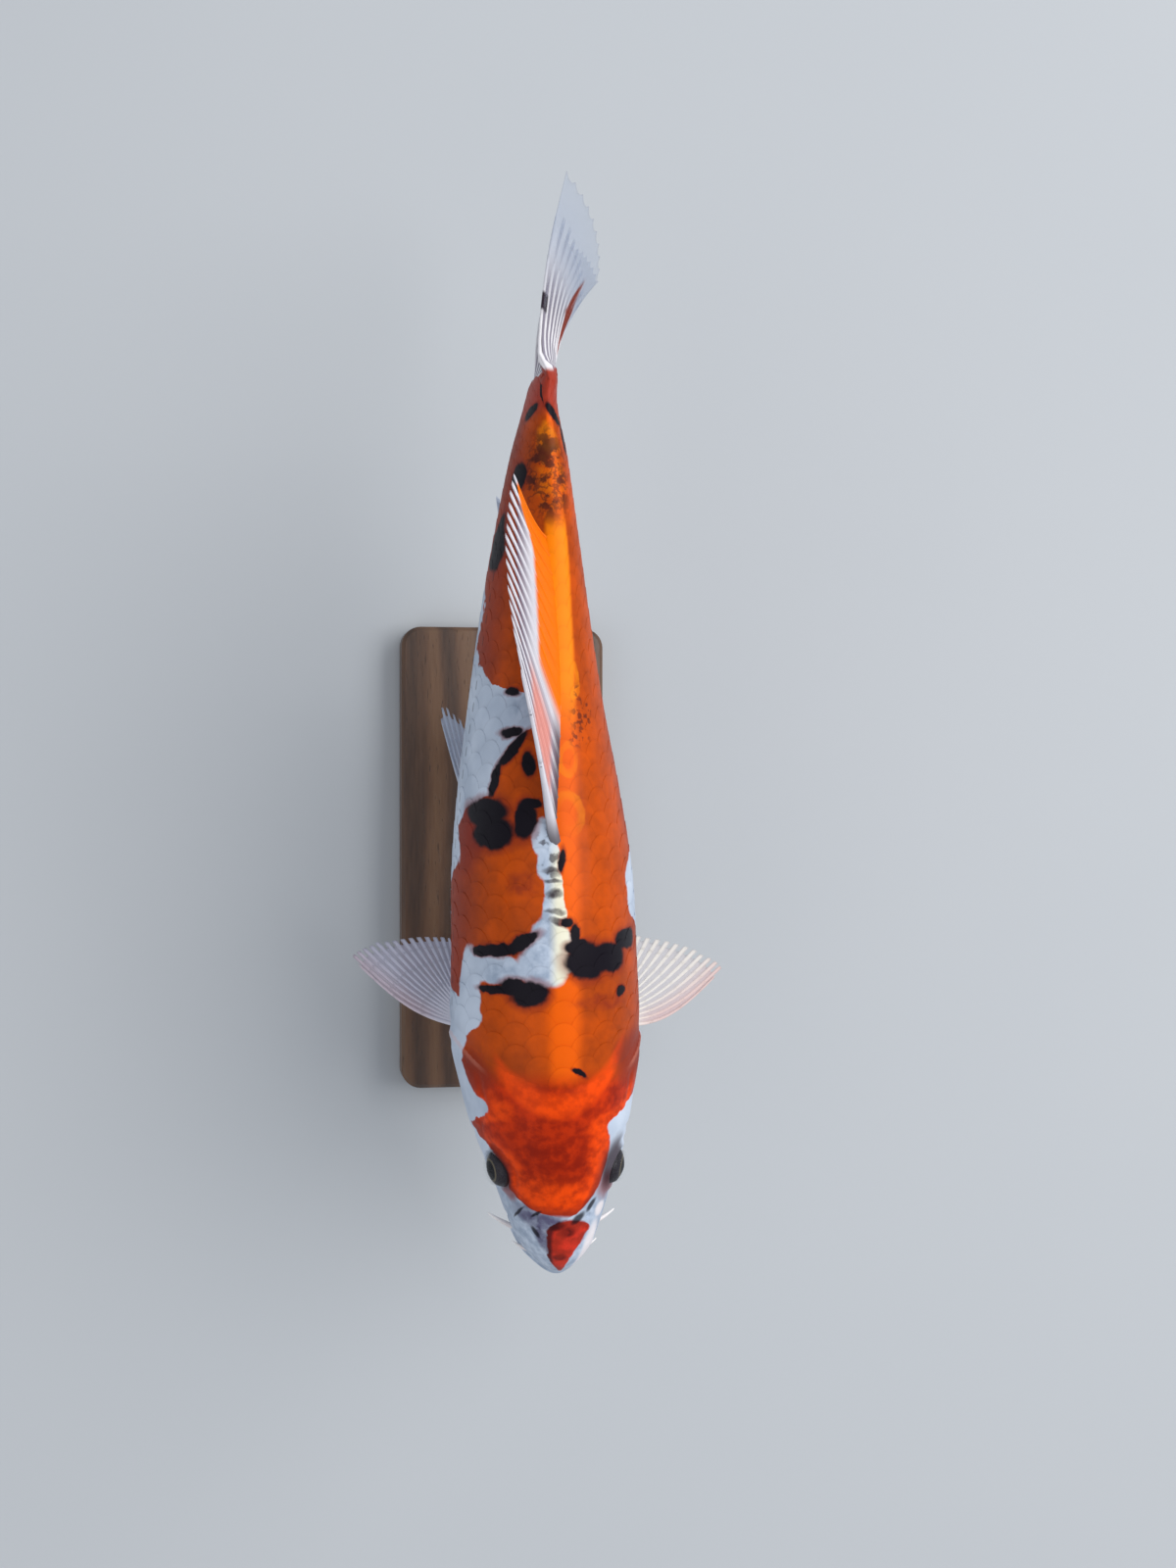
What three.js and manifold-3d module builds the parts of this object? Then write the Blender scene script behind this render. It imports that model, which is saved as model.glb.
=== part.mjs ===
// A koi carp at life size, swimming level above a plain display stand.
// Millimetres, +Z up. The head points to -Y and the fish's left side is +X.
// The origin is the centre of the stand's underside.
import * as THREE from 'three';
import { mergeVertices } from 'three/addons/utils/BufferGeometryUtils.js';
import Module from 'manifold-3d';

const wasm = await Module();
wasm.setup();

// ---- Driving dimensions ----

const STANDARD_LENGTH = 328; // snout to the end of the tail stalk, with the tail fin about 390
const BALANCE_PLACE = 0.45; // the place along the fish that stands over the origin
const AXIS_HEIGHT = 125; // the body's long axis above the floor
const CUT_GAP = 0.3; // between neighbouring pieces
const SIDES = { left: 1, right: -1 };
const BODY_RINGS = 38;
const BODY_SIDES = 26;

// Body sections. place runs from the snout, 0, to the end of the tail stalk, 1.
// Widths, heights and the sideways bend of the spine are shares of the standard length.
// roll is how far the section turns its back to the fish's left, in degrees.
const SECTIONS = [
  { place: 0.00, halfWidth: 0.024, back: 0.030, belly: 0.053, bend: 0.0150, roll: 0 },
  { place: 0.05, halfWidth: 0.047, back: 0.053, belly: 0.063, bend: 0.0115, roll: 0 },
  { place: 0.11, halfWidth: 0.067, back: 0.079, belly: 0.079, bend: 0.0085, roll: 0 },
  { place: 0.18, halfWidth: 0.090, back: 0.104, belly: 0.098, bend: 0.0040, roll: 0 },
  { place: 0.27, halfWidth: 0.1035, back: 0.126, belly: 0.118, bend: 0.0000, roll: 0 },
  { place: 0.36, halfWidth: 0.1015, back: 0.141, belly: 0.131, bend: -0.0015, roll: 0 },
  { place: 0.45, halfWidth: 0.0985, back: 0.147, belly: 0.136, bend: -0.0040, roll: 0 },
  { place: 0.54, halfWidth: 0.087, back: 0.138, belly: 0.131, bend: -0.0075, roll: 2 },
  { place: 0.63, halfWidth: 0.071, back: 0.120, belly: 0.116, bend: -0.0105, roll: 6 },
  { place: 0.72, halfWidth: 0.057, back: 0.099, belly: 0.096, bend: -0.0115, roll: 9 },
  { place: 0.81, halfWidth: 0.043, back: 0.079, belly: 0.075, bend: -0.0105, roll: 11 },
  { place: 0.90, halfWidth: 0.030, back: 0.065, belly: 0.060, bend: -0.0080, roll: 5 },
  { place: 0.96, halfWidth: 0.017, back: 0.060, belly: 0.056, bend: -0.0060, roll: 0 },
  { place: 1.00, halfWidth: 0.0125, back: 0.061, belly: 0.057, bend: 0.0000, roll: 0 },
];
const SNOUT_ROUNDING = 0.04; // share of the length over which the snout closes
const STALK_ROUNDING = 0.02; // the same at the end of the tail stalk
const BELLY_FULLNESS = 0.07; // how much wider a section is below than above

// Cuts between the parts of the body, as places.
const TRUNK_CUT = 0.56;
const STALK_CUT = 0.83;

// Side outlines as [place, height above the axis], in shares of the standard length.
const GILL_EDGE = [[0.200, 0.130], [0.232, 0.080], [0.264, 0.030], [0.272, -0.015], [0.256, -0.065],
  [0.222, -0.100], [0.185, -0.130]];
const COVER_FRONT = [[0.190, -0.098], [0.166, -0.062], [0.158, -0.015], [0.168, 0.032], [0.196, 0.056],
  [0.238, 0.052]];
const COVER_DEPTH = 0.86; // the body's width inside the gill covers
const COVER_GAP = 0.015; // the gap behind them, as a share of that width
const MOUTH_LINE = [[-0.02, -0.020], [0.030, -0.026], [0.058, -0.038], [0.110, -0.066], [0.150, -0.082]];

// Eyes, as places and shares of the standard length.
const EYE = { place: 0.125, side: 0.0565, height: 0.026, radius: 0.0225 };

// Feelers: a long pair at the corners of the mouth and a short pair on the upper lip.
const BARBELS = [
  { name: 'rear', place: 0.050, side: 0.0430, height: -0.024, reach: [9.5, 4.6, -2.4], radius: 0.95 },
  { name: 'front', place: 0.027, side: 0.0330, height: -0.012, reach: [4.8, 2.4, -2.0], radius: 0.65 },
];

// Fins. Reaches are [sideways, back, up] in millimetres from a ray's root to its tip.
const DORSAL = { from: 0.472, to: 0.800, rays: 15, depth: 3, rise: 17, endRise: 8, frontBack: 61, endBack: 23,
  shortening: 1.4, lean: -17, endLean: -18, middleLean: -5, frontShift: -2 };
const PECTORAL = { place: 0.288, height: -0.070, root: [-2, 8, -3], rays: 15 };
const PECTORAL_REACH = {
  left: { lead: [43.0, 13.5, -17.0], trail: [4.0, 21.0, -12.0], bow: 7.5 },
  right: { lead: [34.5, 19.0, -24.5], trail: [2.5, 21.0, -17.0], bow: 5 },
};
const PELVIC = { place: 0.495, height: -0.119, root: [-5, 9, -1], rays: 8 };
const PELVIC_REACH = { lead: [12.0, 45.0, -18.0], trail: [1.0, 27.0, -12.0], bow: 2 };
const ANAL = { from: 0.745, to: 0.812, rays: 8, depth: 3, lead: [-1.5, 45, -27], trail: [-0.5, 15, -9] };
const TAIL = { rootPlace: 0.965, rootHalf: 0.052, rays: 19, lobeLength: 78, forkLength: 45, spread: 0.42,
  cup: 17, rootCup: 3, free: 8, topLean: -6, bottomSweep: 15 };
const FIN_THICKNESS = { root: 2.0, edge: 0.7 };
const NOTCH = 0.035; // how far the web falls short of the ray tips
const FAN_BULGE = 0.15; // how much longer the rays behind the first are, as a share
const FAN_DEPTH = 0.12; // how far a fan's rays start inside the body, as a share of their reach

// Display stand.
const BASE = { length: 190, width: 84, height: 12, corner: 8, bevel: 1.5 };
const ROD = { diameter: 8, sides: 24, places: { front: 0.34, rear: 0.60 } };

// ---- Materials ----

function finish(color, roughness, metalness = 0) {
  return new THREE.MeshStandardMaterial({ color, roughness, metalness });
}

const skinRed = finish(0xd8480e, 0.35);
const skinWhite = finish(0xe6e6e2, 0.35);
const finWhite = finish(0xe9e6e2, 0.4);
const eyeDark = finish(0x15110f, 0.1);
const walnut = finish(0x4a2f1f, 0.5);
const steel = finish(0xb8b8b8, 0.3, 1);

// ---- Helpers ----

/** A value of the section table at a place, on a smooth curve through its rows. */
function sectionValue(key, place) {
  const last = SECTIONS.length - 2;
  let row = 0;
  while (row < last && place > SECTIONS[row + 1].place) row += 1;
  const slope = (i) => {
    const before = SECTIONS[Math.max(i - 1, 0)];
    const after = SECTIONS[Math.min(i + 1, SECTIONS.length - 1)];
    return (after[key] - before[key]) / (after.place - before.place);
  };
  const a = SECTIONS[row];
  const b = SECTIONS[row + 1];
  const span = b.place - a.place;
  const t = THREE.MathUtils.clamp((place - a.place) / span, 0, 1);
  return (2 * t ** 3 - 3 * t ** 2 + 1) * a[key] + (t ** 3 - 2 * t ** 2 + t) * span * slope(row)
    + (3 * t ** 2 - 2 * t ** 3) * b[key] + (t ** 3 - t ** 2) * span * slope(row + 1);
}

/** The distance along the length of a place, from the origin. */
function along(place) {
  return (place - BALANCE_PLACE) * STANDARD_LENGTH;
}

/** A point of the body's surface. angle 0 is the back, a quarter turn the fish's left. */
function bodyPoint(place, angle, widthShare = 1) {
  const nose = Math.sqrt(1 - (1 - Math.min(place / SNOUT_ROUNDING, 1)) ** 2);
  const tail = Math.sqrt(1 - (1 - Math.min((1 - place) / STALK_ROUNDING, 1)) ** 2);
  const back = sectionValue('back', place);
  const belly = sectionValue('belly', place);
  const middle = (back - belly) / 2;
  const half = ((back + belly) / 2) * nose * tail;
  const width = sectionValue('halfWidth', place) * nose * tail * widthShare;
  const across = width * Math.sin(angle) * (1 - BELLY_FULLNESS * Math.cos(angle));
  const up = half * Math.cos(angle);
  const roll = THREE.MathUtils.degToRad(sectionValue('roll', place));
  return new THREE.Vector3(
    (sectionValue('bend', place) + across * Math.cos(roll) + up * Math.sin(roll)) * STANDARD_LENGTH,
    along(place),
    AXIS_HEIGHT + (middle + up * Math.cos(roll) - across * Math.sin(roll)) * STANDARD_LENGTH,
  );
}

/** The point of the flank at a height, on the fish's left (1) or right (-1). */
function flankPoint(place, height, sign) {
  const back = sectionValue('back', place);
  const belly = sectionValue('belly', place);
  return bodyPoint(place, sign * Math.acos((2 * height - back + belly) / (back + belly)));
}

/** A vector with its sideways part turned to the fish's left (1) or right (-1). */
function sided([across, back, up], sign) {
  return new THREE.Vector3(sign * across, back, up);
}

/** Moves every vertex of a closed geometry by a function, and merges the shared ones. */
function shaped(geometry, place) {
  const position = geometry.attributes.position;
  const uv = geometry.attributes.uv;
  for (let i = 0; i < position.count; i += 1) {
    const from = new THREE.Vector3().fromBufferAttribute(position, i);
    const to = place(from, uv.getX(i), uv.getY(i));
    position.setXYZ(i, to.x, to.y, to.z);
  }
  geometry.deleteAttribute('normal');
  geometry.deleteAttribute('uv');
  return mergeVertices(geometry, 1e-3);
}

/** A solid for cutting and joining, with its faces turned outwards. */
function solid(geometry) {
  const bare = geometry.clone();
  bare.deleteAttribute('normal');
  bare.deleteAttribute('uv');
  const merged = mergeVertices(bare, 1e-3);
  const points = merged.attributes.position;
  const corners = Array.from(merged.index.array);
  const [a, b, c] = [new THREE.Vector3(), new THREE.Vector3(), new THREE.Vector3()];
  const kept = [];
  let volume = 0;
  for (let i = 0; i < corners.length; i += 3) {
    const [p, q, r] = corners.slice(i, i + 3);
    if (p === q || q === r || r === p) continue;
    volume += a.fromBufferAttribute(points, p)
      .dot(b.fromBufferAttribute(points, q).cross(c.fromBufferAttribute(points, r)));
    kept.push([p, q, r]);
  }
  const triVerts = new Uint32Array(kept.flatMap(([p, q, r]) => (volume > 0 ? [p, q, r] : [p, r, q])));
  return new wasm.Manifold(new wasm.Mesh({
    numProp: 3,
    vertProperties: new Float32Array(points.array),
    triVerts,
  }));
}

/** The largest piece of a solid, without the slivers that a cut leaves. */
function mainPiece(shape) {
  return shape.decompose().reduce((most, piece) => (piece.volume() > most.volume() ? piece : most));
}

/** A solid back as a three.js geometry. */
function geometryOf(shape) {
  const mesh = mainPiece(shape).getMesh();
  const geometry = new THREE.BufferGeometry();
  geometry.setAttribute('position', new THREE.BufferAttribute(new Float32Array(mesh.vertProperties), 3));
  geometry.setIndex(new THREE.BufferAttribute(new Uint32Array(mesh.triVerts), 1));
  const flat = geometry.toNonIndexed();
  flat.computeVertexNormals();
  return flat;
}

/** A cutter made a gap larger on every side, by joining shifted copies of it. */
function widened(shape, gap = CUT_GAP) {
  const shifts = [[gap, 0, 0], [-gap, 0, 0], [0, gap, 0], [0, -gap, 0], [0, 0, gap], [0, 0, -gap]];
  return shifts.reduce((whole, shift) => whole.add(shape.translate(shift)), shape);
}

/** A prism right across the fish, from a side outline of [place, height] points. */
function acrossFish(outline, reach = 60) {
  const shape = new THREE.Shape(outline.map(([place, height]) => new THREE.Vector2(
    along(place),
    AXIS_HEIGHT + height * STANDARD_LENGTH,
  )));
  const geometry = new THREE.ExtrudeGeometry(shape, { depth: 2 * reach, bevelEnabled: false, steps: 1 });
  geometry.translate(0, 0, -reach);
  geometry.applyMatrix4(new THREE.Matrix4().makeBasis(
    new THREE.Vector3(0, 1, 0),
    new THREE.Vector3(0, 0, 1),
    new THREE.Vector3(1, 0, 0),
  ));
  return solid(geometry);
}

/** Points on a smooth curve through the given side points. */
function curved(points, steps) {
  const curve = new THREE.SplineCurve(points.map(([x, y]) => new THREE.Vector2(x, y)));
  return curve.getPoints(steps).map((point) => [point.x, point.y]);
}

const parts = new THREE.Group();

function addPart(name, geometry, material) {
  const mesh = new THREE.Mesh(geometry, material);
  mesh.name = name;
  parts.add(mesh);
}

// ---- Body ----

/** The body as one closed skin, grown outwards by a distance. */
function bodySkin(grow = 0, widthShare = 1) {
  const ball = new THREE.SphereGeometry(1, BODY_SIDES, BODY_RINGS);
  const skin = shaped(ball, (from, u, v) => bodyPoint(
    (1 - Math.cos(Math.PI * (1 - v))) / 2,
    2 * Math.PI * u,
    widthShare,
  ));
  if (grow > 0) {
    skin.computeVertexNormals();
    const { position, normal } = skin.attributes;
    const centre = new THREE.Vector3();
    for (let i = 0; i < position.count; i += 1) {
      const point = new THREE.Vector3().fromBufferAttribute(position, i);
      const out = new THREE.Vector3().fromBufferAttribute(normal, i);
      centre.set(0, THREE.MathUtils.clamp(point.y, along(0.01), along(0.99)), AXIS_HEIGHT);
      const facing = out.dot(point.clone().sub(centre)) < 0 ? -1 : 1;
      point.addScaledVector(out, facing * grow);
      position.setXYZ(i, point.x, point.y, point.z);
    }
  }
  return solid(skin);
}

const body = bodySkin();
const bodyClearance = bodySkin(CUT_GAP);
const behindGills = [...curved(GILL_EDGE, 14), [0.185, -0.3], [1.2, -0.3], [1.2, 0.3], [0.200, 0.3]];
const behindTrunkCut = [[TRUNK_CUT, -0.3], [1.2, -0.3], [1.2, 0.3], [TRUNK_CUT, 0.3]];
const behindStalkCut = [[STALK_CUT, -0.3], [1.2, -0.3], [1.2, 0.3], [STALK_CUT, 0.3]];
const trunkSpace = acrossFish(behindGills);
const rearSpace = acrossFish(behindTrunkCut);
const stalkSpace = acrossFish(behindStalkCut);

const wholeHead = body.subtract(widened(trunkSpace));
const trunk = body.intersect(trunkSpace);
addPart('trunk_front', geometryOf(trunk.subtract(widened(rearSpace))), skinRed);
addPart('trunk_rear', geometryOf(trunk.intersect(rearSpace).subtract(widened(stalkSpace))), skinRed);
addPart('tail_stalk', geometryOf(trunk.intersect(stalkSpace)), skinRed);

// ---- Head ----

const jawSpace = acrossFish([...curved(MOUTH_LINE, 12), [0.15, -0.3], [-0.02, -0.3]]);
const coverEdge = curved(GILL_EDGE, 14).filter(([, height]) => height < 0.055 && height > -0.1);
const coverSpace = acrossFish([...coverEdge.map(([place, height]) => [place + 0.02, height]),
  ...curved(COVER_FRONT, 12)]);
const coverShell = wholeHead.intersect(coverSpace).subtract(bodySkin(0, COVER_DEPTH));
const coverHollow = widened(coverSpace).subtract(bodySkin(0, COVER_DEPTH - COVER_GAP));

function eyeBall(sign, extra = 0) {
  const radius = EYE.radius * STANDARD_LENGTH + extra;
  const ball = new THREE.SphereGeometry(radius, 14, 8);
  ball.rotateZ(Math.PI / 2);
  ball.translate(
    (sectionValue('bend', EYE.place) + sign * EYE.side) * STANDARD_LENGTH,
    along(EYE.place),
    AXIS_HEIGHT + EYE.height * STANDARD_LENGTH,
  );
  return solid(ball);
}

let headCore = wholeHead.subtract(widened(jawSpace)).subtract(coverHollow);
for (const [side, sign] of Object.entries(SIDES)) {
  headCore = headCore.subtract(eyeBall(sign, CUT_GAP));
  addPart(`eye_${side}`, geometryOf(eyeBall(sign)), eyeDark);
}
addPart('head', geometryOf(headCore), skinRed);
addPart('lower_jaw', geometryOf(wholeHead.intersect(jawSpace)), skinWhite);
for (const shell of coverShell.decompose()) {
  const bounds = shell.boundingBox();
  const side = bounds.min[0] + bounds.max[0] > 0 ? 'left' : 'right';
  addPart(`gill_cover_${side}`, geometryOf(shell), skinRed);
}

/** A feeler: a tapered round stem bent from its root to its tip. */
function feeler(barbel, sign) {
  const root = new THREE.Vector3(
    (sectionValue('bend', barbel.place) + sign * barbel.side) * STANDARD_LENGTH,
    along(barbel.place),
    AXIS_HEIGHT + barbel.height * STANDARD_LENGTH,
  );
  const reach = sided(barbel.reach, sign);
  const start = root.clone().addScaledVector(reach, -0.5);
  const sag = new THREE.Vector3(0, -0.12 * reach.length(), 0);
  const path = new THREE.QuadraticBezierCurve3(start, root.clone().addScaledVector(reach, 0.4).add(sag),
    root.clone().add(reach));
  const stem = new THREE.CylinderGeometry(1, 1, 1, 8, 6);
  return solid(shaped(stem, (from) => {
    const t = from.y + 0.5;
    const direction = path.getTangent(t);
    const level = new THREE.Vector3().crossVectors(direction, new THREE.Vector3(0, 0, 1)).normalize();
    const upright = new THREE.Vector3().crossVectors(level, direction);
    const radius = barbel.radius * (1 - 0.45 * t);
    return path.getPoint(t)
      .addScaledVector(level, from.x * radius)
      .addScaledVector(upright, from.z * radius);
  })).subtract(bodyClearance);
}

for (const barbel of BARBELS) {
  for (const [side, sign] of Object.entries(SIDES)) {
    addPart(`barbel_${barbel.name}_${side}`, geometryOf(feeler(barbel, sign)), skinWhite);
  }
}

// ---- Fins ----

/** A fin as a thin closed sheet over surface(s, t): s from the first ray to the last, t from root to tip. */
function finSheet(surface, rays, steps = 4) {
  const sheet = new THREE.BoxGeometry(1, 1, 1, 2 * (rays - 1), steps, 1);
  const nudge = 1e-3;
  return solid(shaped(sheet, (from) => {
    const s = from.x + 0.5;
    const web = Math.abs(Math.sin(Math.PI * s * (rays - 1)));
    const t = (from.y + 0.5) * (1 - NOTCH * web);
    const alongRay = surface(s, t + nudge).sub(surface(s, t - nudge));
    const acrossRays = surface(s + nudge, t).sub(surface(s - nudge, t));
    const normal = acrossRays.cross(alongRay).normalize();
    const thickness = THREE.MathUtils.lerp(FIN_THICKNESS.root, FIN_THICKNESS.edge, Math.min(t * 1.6, 1));
    return surface(s, t).addScaledVector(normal, from.z * thickness);
  }));
}

/** The dorsal fin: half folded, swept back and leaning to the fish's right. */
function dorsalSurface(s, t) {
  const root = bodyPoint(DORSAL.from + (DORSAL.to - DORSAL.from) * s, 0);
  const back = DORSAL.frontBack - (DORSAL.frontBack - DORSAL.endBack) * Math.abs(s) ** DORSAL.shortening;
  const rise = DORSAL.rise - (DORSAL.rise - DORSAL.endRise) * s * s;
  const lean = DORSAL.lean + (DORSAL.endLean - DORSAL.lean) * s
    + DORSAL.middleLean * Math.sin(Math.PI * s);
  return root.add(new THREE.Vector3(
    lean * Math.abs(t) ** (1 - 0.5 * Math.abs(s) ** 4) + DORSAL.frontShift * (1 - t) * (1 - s) ** 6,
    back * t,
    rise * Math.sin((Math.PI / 2) * Math.min(t, 1)) - DORSAL.depth * (1 - t),
  ));
}
addPart('dorsal_fin', geometryOf(finSheet(dorsalSurface, DORSAL.rays).subtract(bodyClearance)), finWhite);

/** The anal fin: swept back below the tail stalk. */
function analSurface(s, t) {
  const root = bodyPoint(ANAL.from + (ANAL.to - ANAL.from) * s, Math.PI);
  const lead = new THREE.Vector3(...ANAL.lead);
  const reach = lead.lerp(new THREE.Vector3(...ANAL.trail), s);
  return root.add(new THREE.Vector3(reach.x * t * t, reach.y * t, reach.z * t + ANAL.depth * (1 - t)));
}
addPart('anal_fin', geometryOf(finSheet(analSurface, ANAL.rays).subtract(bodyClearance)), finWhite);

/** A fan of rays from a short root on the flank. lead and trail are the reaches of the first and last rays, and
 * bow is how far the first ray curves forward on its way. */
function fanSurface({ place, height, root }, { lead, trail, bow }, sign) {
  const middle = flankPoint(place, height, sign);
  const [first, last] = [sided(lead, sign), sided(trail, sign)];
  return (s, t) => {
    const bulge = 1 + FAN_BULGE * Math.sin(Math.PI * Math.sqrt(Math.abs(s)));
    const reach = first.clone().lerp(last, s);
    reach.setLength(THREE.MathUtils.lerp(first.length(), last.length(), s) * bulge);
    const arch = bow * Math.sin(Math.PI * THREE.MathUtils.clamp(t, 0, 1));
    return middle.clone()
      .addScaledVector(sided(root, sign), s - 0.5)
      .addScaledVector(reach, (1 + FAN_DEPTH) * t - FAN_DEPTH)
      .add(new THREE.Vector3(0, -arch * (1 - s) ** 2, 0.25 * arch));
  };
}

for (const [side, sign] of Object.entries(SIDES)) {
  const pectoral = finSheet(fanSurface(PECTORAL, PECTORAL_REACH[side], sign), PECTORAL.rays);
  addPart(`pectoral_fin_${side}`, geometryOf(pectoral.subtract(bodyClearance)), finWhite);
  const pelvic = finSheet(fanSurface(PELVIC, PELVIC_REACH, sign), PELVIC.rays);
  addPart(`pelvic_fin_${side}`, geometryOf(pelvic.subtract(bodyClearance)), finWhite);
}

/** The tail fin, cupped so that its middle swings to the fish's left. s runs from the top edge to the bottom. */
function tailSurface(s, t) {
  const edge = 1 - 2 * s;
  const share = Math.abs(edge);
  const length = TAIL.forkLength + (TAIL.lobeLength - TAIL.forkLength) * share;
  const distance = length * t;
  const angle = TAIL.spread * edge;
  const back = distance * Math.cos(angle);
  const root = new THREE.Vector3(
    sectionValue('bend', Math.min(TAIL.rootPlace + back / STANDARD_LENGTH, 1)) * STANDARD_LENGTH,
    along(TAIL.rootPlace),
    AXIS_HEIGHT + edge * TAIL.rootHalf * STANDARD_LENGTH,
  );
  const free = Math.max(distance - TAIL.free, 0) / (length - TAIL.free);
  const cup = (TAIL.cup * free ** 2 + TAIL.rootCup * Math.tanh(10 * free)) * (1 - share ** 2);
  const sweep = share ** 2 * (edge > 0
    ? TAIL.topLean * Math.tanh(20 * free) * Math.cos((Math.PI / 2) * free ** 1.5)
    : TAIL.bottomSweep * free ** 2);
  return root.add(new THREE.Vector3(cup + sweep, back, distance * Math.sin(angle)));
}
const lobe = 0.5 - CUT_GAP / (4 * TAIL.rootHalf * STANDARD_LENGTH); // each lobe's share of s
const lobeRays = (TAIL.rays + 1) / 2;
const upperLobe = finSheet((s, t) => tailSurface(lobe * s, t), lobeRays, 6);
const lowerLobe = finSheet((s, t) => tailSurface(1 - lobe + lobe * s, t), lobeRays, 6);
addPart('tail_fin_upper', geometryOf(upperLobe.subtract(bodyClearance)), finWhite);
addPart('tail_fin_lower', geometryOf(lowerLobe.subtract(bodyClearance)), finWhite);

// ---- Display stand ----

function baseBlock() {
  const [x, y] = [BASE.width / 2 - BASE.bevel, BASE.length / 2 - BASE.bevel];
  const r = BASE.corner - BASE.bevel;
  const outline = new THREE.Shape();
  outline.moveTo(x, -y + r);
  outline.lineTo(x, y - r);
  outline.absarc(x - r, y - r, r, 0, Math.PI / 2);
  outline.lineTo(-x + r, y);
  outline.absarc(-x + r, y - r, r, Math.PI / 2, Math.PI);
  outline.lineTo(-x, -y + r);
  outline.absarc(-x + r, -y + r, r, Math.PI, 1.5 * Math.PI);
  outline.lineTo(x - r, -y);
  outline.absarc(x - r, -y + r, r, 1.5 * Math.PI, 2 * Math.PI);
  const block = new THREE.ExtrudeGeometry(outline, {
    depth: BASE.height - 2 * BASE.bevel,
    bevelEnabled: true,
    bevelThickness: BASE.bevel,
    bevelSize: BASE.bevel,
    bevelSegments: 1,
    curveSegments: 4,
  });
  block.translate(0, 0, BASE.bevel);
  return solid(block);
}
addPart('stand_base', geometryOf(baseBlock()), walnut);

for (const [name, place] of Object.entries(ROD.places)) {
  const bottom = BASE.height + CUT_GAP;
  const rod = new THREE.CylinderGeometry(ROD.diameter / 2, ROD.diameter / 2, AXIS_HEIGHT - bottom, ROD.sides);
  rod.rotateX(Math.PI / 2);
  rod.translate(sectionValue('bend', place) * STANDARD_LENGTH, along(place), (AXIS_HEIGHT + bottom) / 2);
  addPart(`stand_rod_${name}`, geometryOf(solid(rod).subtract(bodyClearance)), steel);
}

export default parts;
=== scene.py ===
"""A koi carp at life size, swimming level above a plain display stand."""
import math
import random

import bmesh
import bpy
import numpy as np
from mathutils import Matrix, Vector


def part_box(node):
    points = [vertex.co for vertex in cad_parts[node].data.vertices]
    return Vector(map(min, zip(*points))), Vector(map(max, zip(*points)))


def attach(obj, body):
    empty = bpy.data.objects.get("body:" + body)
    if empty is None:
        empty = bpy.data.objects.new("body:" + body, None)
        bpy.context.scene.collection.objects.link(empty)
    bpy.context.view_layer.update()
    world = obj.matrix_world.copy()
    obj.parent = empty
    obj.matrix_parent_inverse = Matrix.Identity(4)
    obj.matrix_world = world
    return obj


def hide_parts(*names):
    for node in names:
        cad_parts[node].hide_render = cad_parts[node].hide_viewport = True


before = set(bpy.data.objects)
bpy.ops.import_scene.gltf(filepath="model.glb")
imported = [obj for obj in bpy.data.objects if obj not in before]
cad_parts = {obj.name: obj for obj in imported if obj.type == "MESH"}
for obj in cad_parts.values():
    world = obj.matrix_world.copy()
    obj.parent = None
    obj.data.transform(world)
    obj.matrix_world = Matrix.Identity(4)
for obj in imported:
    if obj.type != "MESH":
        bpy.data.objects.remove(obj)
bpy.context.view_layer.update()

# ---- Stand base ----
# A block of dark hardwood with rounded corners, planed smooth, oiled and rubbed to a low sheen.
# Its grain runs along the length of the block and opens into dark pores.
MM = 0.001
WOOD_DARK = (0.035, 0.016, 0.008, 1)
WOOD_MIDDLE = (0.10, 0.045, 0.020, 1)
WOOD_LIGHT = (0.17, 0.085, 0.038, 1)


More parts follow.
